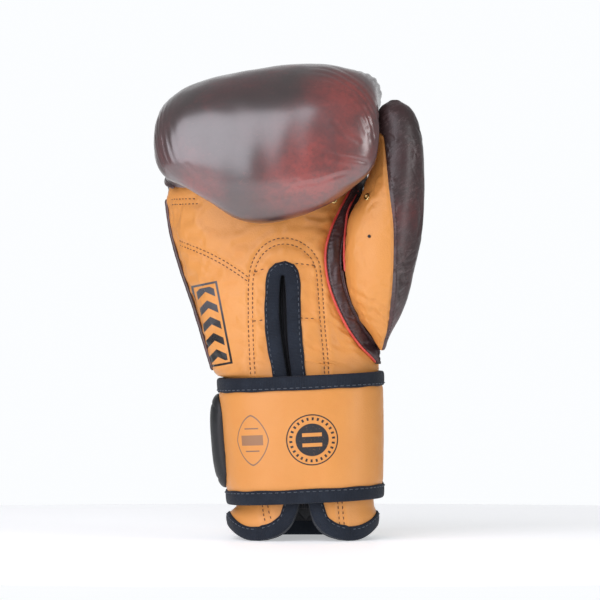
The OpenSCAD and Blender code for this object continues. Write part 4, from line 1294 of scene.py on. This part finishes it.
def thumb_axis(z):
    """Middle of the thumb at height z."""
    left, right, front, back = (col(THUMB, z, k) for k in (1, 2, 3, 4))
    return np.stack([(left + right) / 2, (front + back) / 2, z], -1)


def thumb_pieces():
    """Tan inner and dark outer leather of the thumb, sewn along its front."""
    nz = 240
    s = np.linspace(0, 1, nz)
    zz = THUMB_FOOT + (THUMB_TIP - THUMB_FOOT) * ((0.5 - 0.5 * np.cos(math.pi * s)) * 0.5 + s * 0.5)
    seam = seam_angle(zz)
    for name, nd, mat, rep in (("thumb_inner_panel", 100, "tan", ("thumb_inner_leather",)),
                               ("thumb_outer_panel", 190, "thumb", ("thumb_outer_leather", "thumb_foam"))):
        inner = name == "thumb_inner_panel"
        rows = zz < 265 if inner else zz > 0
        z1 = zz[rows]
        n = len(z1)
        a0 = np.full(n, THUMB_BACK) if inner else seam[rows]
        a1 = seam[rows] if inner else np.full(n, THUMB_BACK + 360)
        A = a0[:, None] + (a1 - a0)[:, None] * np.linspace(0, 1, nd)[None, :]
        Z = np.broadcast_to(z1[:, None], A.shape)
        P = thumb_point(Z, A)
        ci, cj = np.linspace(0, n - 1, n // 4).astype(int), np.linspace(0, nd - 1, nd // 4).astype(int)
        C = thumb_point(Z[np.ix_(ci, cj)], A[np.ix_(ci, cj)], 0.8)
        pins = np.zeros(C.shape[:2], bool)
        pins[:, :1] = pins[:, -1:] = True
        pins[:2] = pins[-2:] = True
        spread = refine(puff(C, False, pins, pressure=2.5, grow=0.02, cap=2.0, frames=14), n, nd)
        N = normals(P)
        N *= np.sign(((P - thumb_axis(Z)) * N).sum())
        if not inner:
            both = unit(N[:, 0] + N[:, -1])
            k = ease((z1 - 255) / 8)[:, None]
            for end in (0, -1):
                N[:, end] = N[:, end] * (1 - k) + both * k
        out = np.clip((spread * N).sum(-1), -0.5, 1.3) * 0.7
        width = np.linalg.norm(np.diff(P, axis=1), axis=-1)
        dist0 = np.concatenate([np.zeros((n, 1)), np.cumsum(width, 1)], 1)
        dist1 = dist0[:, -1:] - dist0
        h = 0.30 * wave(P, 61, 45) + 0.05 * wave(P, 62, 14)
        valley = (-0.9 * bell(dist0, 1.2) - 0.9 * bell(dist1, 1.2)) * ease((268 - z1) / 8)[:, None]
        if inner:
            low = ease((-P[..., 1] - 20) / 12)
            for base, slope, depth, w in ((158, -0.52, 0.30, 1.5), (151, -0.55, 0.42, 1.4),
                                          (144, -0.6, 0.32, 1.6), (138, -0.6, 0.40, 1.3)):
                d = Z - base - slope * (P[..., 0] - 45) - 1.2 * wave(P, int(base), 26)
                fade = low * (0.6 + 0.4 * wave(P, int(base) + 1, 30))
                h = h - depth * bell(d, w) * fade + 0.5 * depth * bell(d - 2.8, 2.0) * fade
        else:
            span = bell(z1 - 186, 62, 6)[:, None]
            phase = (Z - 0.62 * dist0) / 2.6 + 0.5 * wave(P, 63, 22) + 0.22 * wave(P, 64, 8)
            h = h + 0.20 * np.exp(-dist0 / 9.0) * ridges(phase, 0.8) * span
            phase = (Z + 0.3 * dist1) / 3.2 + 0.45 * wave(P, 65, 24)
            h = h + 0.20 * np.exp(-dist1 / 8.0) * ridges(phase, 0.8) * span
            for base, depth in ((176, 0.34), (181, 0.26), (170, 0.28), (163, 0.2), (206, 0.16)):
                d = Z - base - 0.30 * (dist0 - 12) - 1.6 * wave(P, int(base), 24)
                h = h - depth * bell(d, 0.9) * bell(dist0 - 14, 11)
        tip = (ease((z1 - THUMB_FOOT) / 5) * ease((THUMB_TIP - z1) / 4))[:, None]
        P = P + N * ((out + h) * tip + valley * (0.25 + 0.75 * tip))[..., None]
        caps = []
        for end, at, sgn in ((P[0], THUMB_FOOT, -1), (P[-1], THUMB_TIP, 1)):
            full = thumb_point(at, np.linspace(0, 360, 40, endpoint=False))
            c = full.mean(0)
            caps.append(np.array([c + (end - c) * k + np.array([0, 0, sgn * up]) for k, up in
                                  ((0.9, 0.35), (0.72, 0.75), (0.42, 1.05), (0.06, 1.15))]))
        P = np.concatenate([caps[0][::-1], P, caps[1]] if not inner else [caps[0][::-1], P])
        inward = thumb_axis(P[..., 2])
        inward[..., 2] = np.clip(P[..., 2], 126, 271)
        inward -= P
        inward /= np.maximum(np.linalg.norm(inward, axis=-1, keepdims=True), 1e-6)
        ob = shell(name, P, 1.3, inward=inward)
        finish_piece(ob, mat, body="thumb", replaces=rep)
    outer = ob
    keep = (zz > 126) & (zz < 256)
    w = (col(THUMB, zz, 2) - col(THUMB, zz, 1))[keep]
    a = seam[keep] + 2.0 * 115 / w
    p = thumb_point(zz[keep], a)
    n = unit(thumb_point(zz[keep], a, -1.0) - p)
    stitches("thumb_stitching", lay_on(outer, [(p, n)], sink=0.1), "thread_dark", body="thumb",
             spacing=2.6, length=1.7, r=0.26)


thumb_pieces()


# ---------------------------------------------------------------- gusset and piping
def gusset_point(z, side):
    """Point of the gusset's left (1) or right (2) edge at level z."""
    x = col(GUSSET, z, side)
    y = around(HAND, z, direction_of(HAND, z, np.minimum(x, col(HAND, z, 2) - 1)), 0, rise=False)[..., 1]
    y = np.where(z > 222, y + 0.25 * (z - 222), y)
    return np.stack([x, y - (3.5 if side == 2 else 0), z + tilt(x, z)], -1)


def gusset_out(z):
    """Outward direction of the palm beside the gusset."""
    x = np.minimum(col(GUSSET, z, 1), col(HAND, z, 2) - 2)
    ya = around(HAND, z, direction_of(HAND, z, x + 0.5), 0, rise=False)[..., 1]
    yb = around(HAND, z, direction_of(HAND, z, x - 0.5), 0, rise=False)[..., 1]
    n = np.stack([ya - yb, -np.ones_like(x), np.zeros_like(x)], -1)
    return unit(n)


def gusset_pieces():
    """The puckered strip between palm and thumb in three lengths, its stitches, and the piping beside it."""
    for tag, z0, z1, bend, rep in (("low", 111, 178.5, TO_THUMB_LOW, ("thumb_gusset",)),
                                   ("high", 177, 231, TO_THUMB_UP, ()), ("top", 229, 255, None, ())):
        z = np.linspace(z0, z1, 120)
        p, q, out = gusset_point(z, 1), gusset_point(z, 2), gusset_out(z)
        u = np.linspace(0.02, 0.98, 40)
        P = p[:, None] + (q - p)[:, None] * u[None, :, None]
        crown = 1.5 * np.sin(math.pi * u) ** 0.5 - 0.30 * bell(u - 0.15, 0.05) - 0.45 * bell(u - 0.85, 0.05)
        pucker = 0.20 * np.sin(z[:, None] * 2 * math.pi / 2.7 + 1.5 * wave(P, 71, 14)) * np.abs(2 * u - 1)
        rough = 0.26 * wave(P, 72, 5.5) + 0.22 * wave(P, 73, 16)
        across = 0.35 * bell(np.sin(z[:, None] / 5.1 + u[None, :] * 1.6 + 0.8 * wave(P, 74, 20)), 0.22)
        h = crown + pucker + (rough - across) * np.sin(math.pi * u)
        outer = P + out[:, None] * h[..., None]
        inner = P[:, ::-1] - out[:, None] * 1.4
        ob = sweep("gusset_" + tag, np.concatenate([outer, inner], 1))
        finish_piece(ob, "thumb", "thumb", bend, rep)
        if tag == "top":
            continue
        rows = []
        for f in (0.13, 0.90):
            line = p + (q - p) * f + out * 0.75
            rows.append((line[z < 221], out[z < 221]))
        stitches("gusset_stitching_" + tag, lay_on(ob, rows, sink=0.1), "thread_dark", bend=bend,
                 spacing=2.6, length=1.7, r=0.26)
    z = np.linspace(112, 226.5, 200)
    tube_along("piping_palm", gusset_point(z, 1) + gusset_out(z) * 0.75, 0.78, "red", bend=TO_FIST,
               replaces=("palm_piping",))
    z = np.linspace(168, 218, 150)
    p = gusset_point(z, 2) + gusset_out(z) * (1.9 + 2.6 * ease((z - 194) / 10))[:, None]
    p[:, 0] = col(THUMB, z, 1) - 0.35 - 0.5 * ease((z - 196) / 8)
    tube_along("piping_thumb", p, 0.78, "red", body="thumb", replaces=("thumb_piping",))
    z = np.linspace(117, 168.5, 120)
    p = gusset_point(z, 2) + gusset_out(z) * 0.6 + np.array([-0.1, 0, 0])
    tube_along("gusset_edge_roll", p, 0.62, "thumb", body="thumb")


gusset_pieces()


def thumb_web():
    """The folded web behind the thumb, which joins its root to the side of the hand."""
    z = np.linspace(120, 231, 110)
    hand = around(HAND, np.minimum(z, 227), -10.0, 1.2)
    hand[:, 2] = z
    zt = np.clip(z, 124, 231)
    on_thumb = thumb_point(zt, 100.0, 1.5)
    on_thumb[:, 2] = z
    v = np.linspace(0, 1, 40)
    P = hand[:, None] * (1 - v)[None, :, None] + on_thumb[:, None] * v[None, :, None]
    middle = np.sin(math.pi * v)[None, :]
    fold = 0.45 * ridges(z[:, None] / 5.5 + 0.6 * v[None, :] + 0.25 * wave(P, 81, 30), 0.8) * middle
    P[..., 1] -= 2.2 * middle - fold - 0.35 * wave(P, 82, 20)
    P[..., 2] -= 7.0 * bell(z - 229, 12.0)[:, None] * middle
    finish_piece(shell("thumb_web", P, 2.0), "dark", bend=("glove", "thumb", (44, 0, 170), (56, 0, 170)))


thumb_web()


# ---------------------------------------------------------------- eyelets
# profiles: radius and height above the leather
ROLLED_RING = [(0.75, -1.6), (1.35, -1.6), (1.4, 0.2), (2.3, 0.25), (2.55, 0.5), (2.45, 0.85), (2.0, 1.08),
               (1.4, 1.02), (0.95, 0.75), (0.75, 0.3)]
# a filled dark disc in place of a punched hole: painted shade of the hole's inside
HOLE_SHADE_DISC = [(0.02, -1.2), (0.95, -1.2), (1.0, 0.5), (0.8, 0.62), (0.4, 0.5), (0.02, 0.45)]


def eyelet(name, at, axis, body, rep, mat="brass", prof=ROLLED_RING):
    """A small turned piece let into the leather."""
    z = Vector(axis).normalized()
    x = z.orthogonal().normalized()
    y = z.cross(x)
    rings = []
    for k in range(40):
        a = 2 * math.pi * k / 40
        r = np.array(x) * math.cos(a) + np.array(y) * math.sin(a)
        rings.append([np.array(at) + r * c[0] + np.array(z) * c[1] for c in prof])
    ob = sweep(name, np.array(rings), closed=True)
    finish_piece(ob, mat, body=body, replaces=rep)


def facing(z, a):
    """Point of the thumb and the outward direction there."""
    p = thumb_point(z, a)
    da = thumb_point(z, a + 0.5) - thumb_point(z, a - 0.5)
    dz = thumb_point(z + 0.5, a) - thumb_point(z - 0.5, a)
    n = np.cross(da, dz)
    return p, n / np.linalg.norm(n)


c = palm_point(np.array([21.4]), np.array([215.5]))[0]
eyelet("eyelet_palm", c + np.array([0, -0.3, 0]), (-0.21, -0.98, 0), "glove", ("palm_eyelet",))


def front_angle(z, x):
    """Direction of the thumb's front at x."""
    left, right = col(THUMB, z, 1), col(THUMB, z, 2)
    return palm_side_angle((2 * x - left - right) / (right - left), 1.1)


p1, n1 = facing(216.5, front_angle(216.5, 42.2))
p2, n2 = facing(191.8, front_angle(191.8, 43.4))
eyelet("eyelet_thumb_high", p1 - n1 * 0.1, n1, "thumb", ("thumb_eyelets",))
# the vent is no cut but a dark disc of black cloth standing proud of the leather: painted shade where the
# hole is
eyelet("vent_shade_disc", p2 - n2 * 0.25, n2, "thumb", (), "elastic", HOLE_SHADE_DISC)

# the grip bar keeps its CAD shape, wrapped in the lining's cloth
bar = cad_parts["grip_bar"]
bar.data.materials.clear()
bar.data.materials.append(M["satin"])


# ---------------------------------------------------------------- floor, light and camera
def floor():
    """A white oval under the glove, a little lit of itself."""
    count = 96
    t = np.linspace(0, 2 * math.pi, count, endpoint=False)
    ring = np.stack([np.cos(t) * 620, np.sin(t) * 430, np.full(count, -0.3)], -1)
    ob = build("floor", ring, [tuple(range(count))], smooth=False)
    n = Net("Floor")
    tone = n.noise(n.obj, 3, 2, 0.5)
    c = n.mix(tone, (0.955, 0.96, 0.965), (0.975, 0.98, 0.985))
    ob.data.materials.append(n.done(c, 0.55, **{"Emission__Color": (0.97, 0.985, 1.0, 1.0),
                                                "Emission__Strength": 0.42}))


def area(name, at, target, size, watts, color=(1, 1, 1)):
    light = bpy.data.lights.new(name, "AREA")
    light.shape, light.size, light.size_y = "RECTANGLE", size[0], size[1]
    light.energy, light.color = watts, color
    ob = bpy.data.objects.new(name, light)
    ob.location = at
    ob.rotation_euler = (Vector(target) - Vector(at)).to_track_quat("-Z", "Y").to_euler()
    bpy.context.scene.collection.objects.link(ob)


def studio():
    """White behind the glove and dimmer on the camera's side, so that the leather's edges catch the light."""
    world = bpy.data.worlds.new("Studio")
    bpy.context.scene.world = world
    world.use_nodes = True
    nt = world.node_tree
    back = nt.nodes["Background"]
    way = nt.nodes.new("ShaderNodeTexCoord").outputs["Generated"]
    parts = nt.nodes.new("ShaderNodeSeparateXYZ")
    nt.links.new(way, parts.inputs[0])
    span = nt.nodes.new("ShaderNodeMapRange")
    span.interpolation_type = "SMOOTHSTEP"
    for k, v in enumerate((0.82, 0.995, 0.26, 1.0)):
        span.inputs[k + 1].default_value = v
    nt.links.new(parts.outputs["Y"], span.inputs[0])
    back.inputs[0].default_value = (0.97, 0.985, 1.0, 1)
    nt.links.new(span.outputs[0], back.inputs[1])


floor()
studio()
area("front", (-0.66, -1.05, 0.60), (0, 0, 0.20), (1.5, 2.3), 25, (0.95, 0.92, 1.0))
area("side", (1.35, -0.85, 0.40), (0, 0, 0.20), (0.45, 1.1), 6.0, (0.97, 0.985, 1.0))

cam_data = bpy.data.cameras.new("Camera")
cam = bpy.data.objects.new("Camera", cam_data)
bpy.context.scene.collection.objects.link(cam)
DISTANCE, FIELD = 2.5, 0.378
cam_data.sensor_width = 36
cam_data.lens = 36 * DISTANCE / FIELD
cam_data.clip_end = 30
cam.location = (0, -DISTANCE - 0.035, 0.1518)
cam.rotation_euler = (math.pi / 2, 0, 0)
bpy.context.scene.camera = cam
bpy.context.scene.view_settings.view_transform = "Standard"
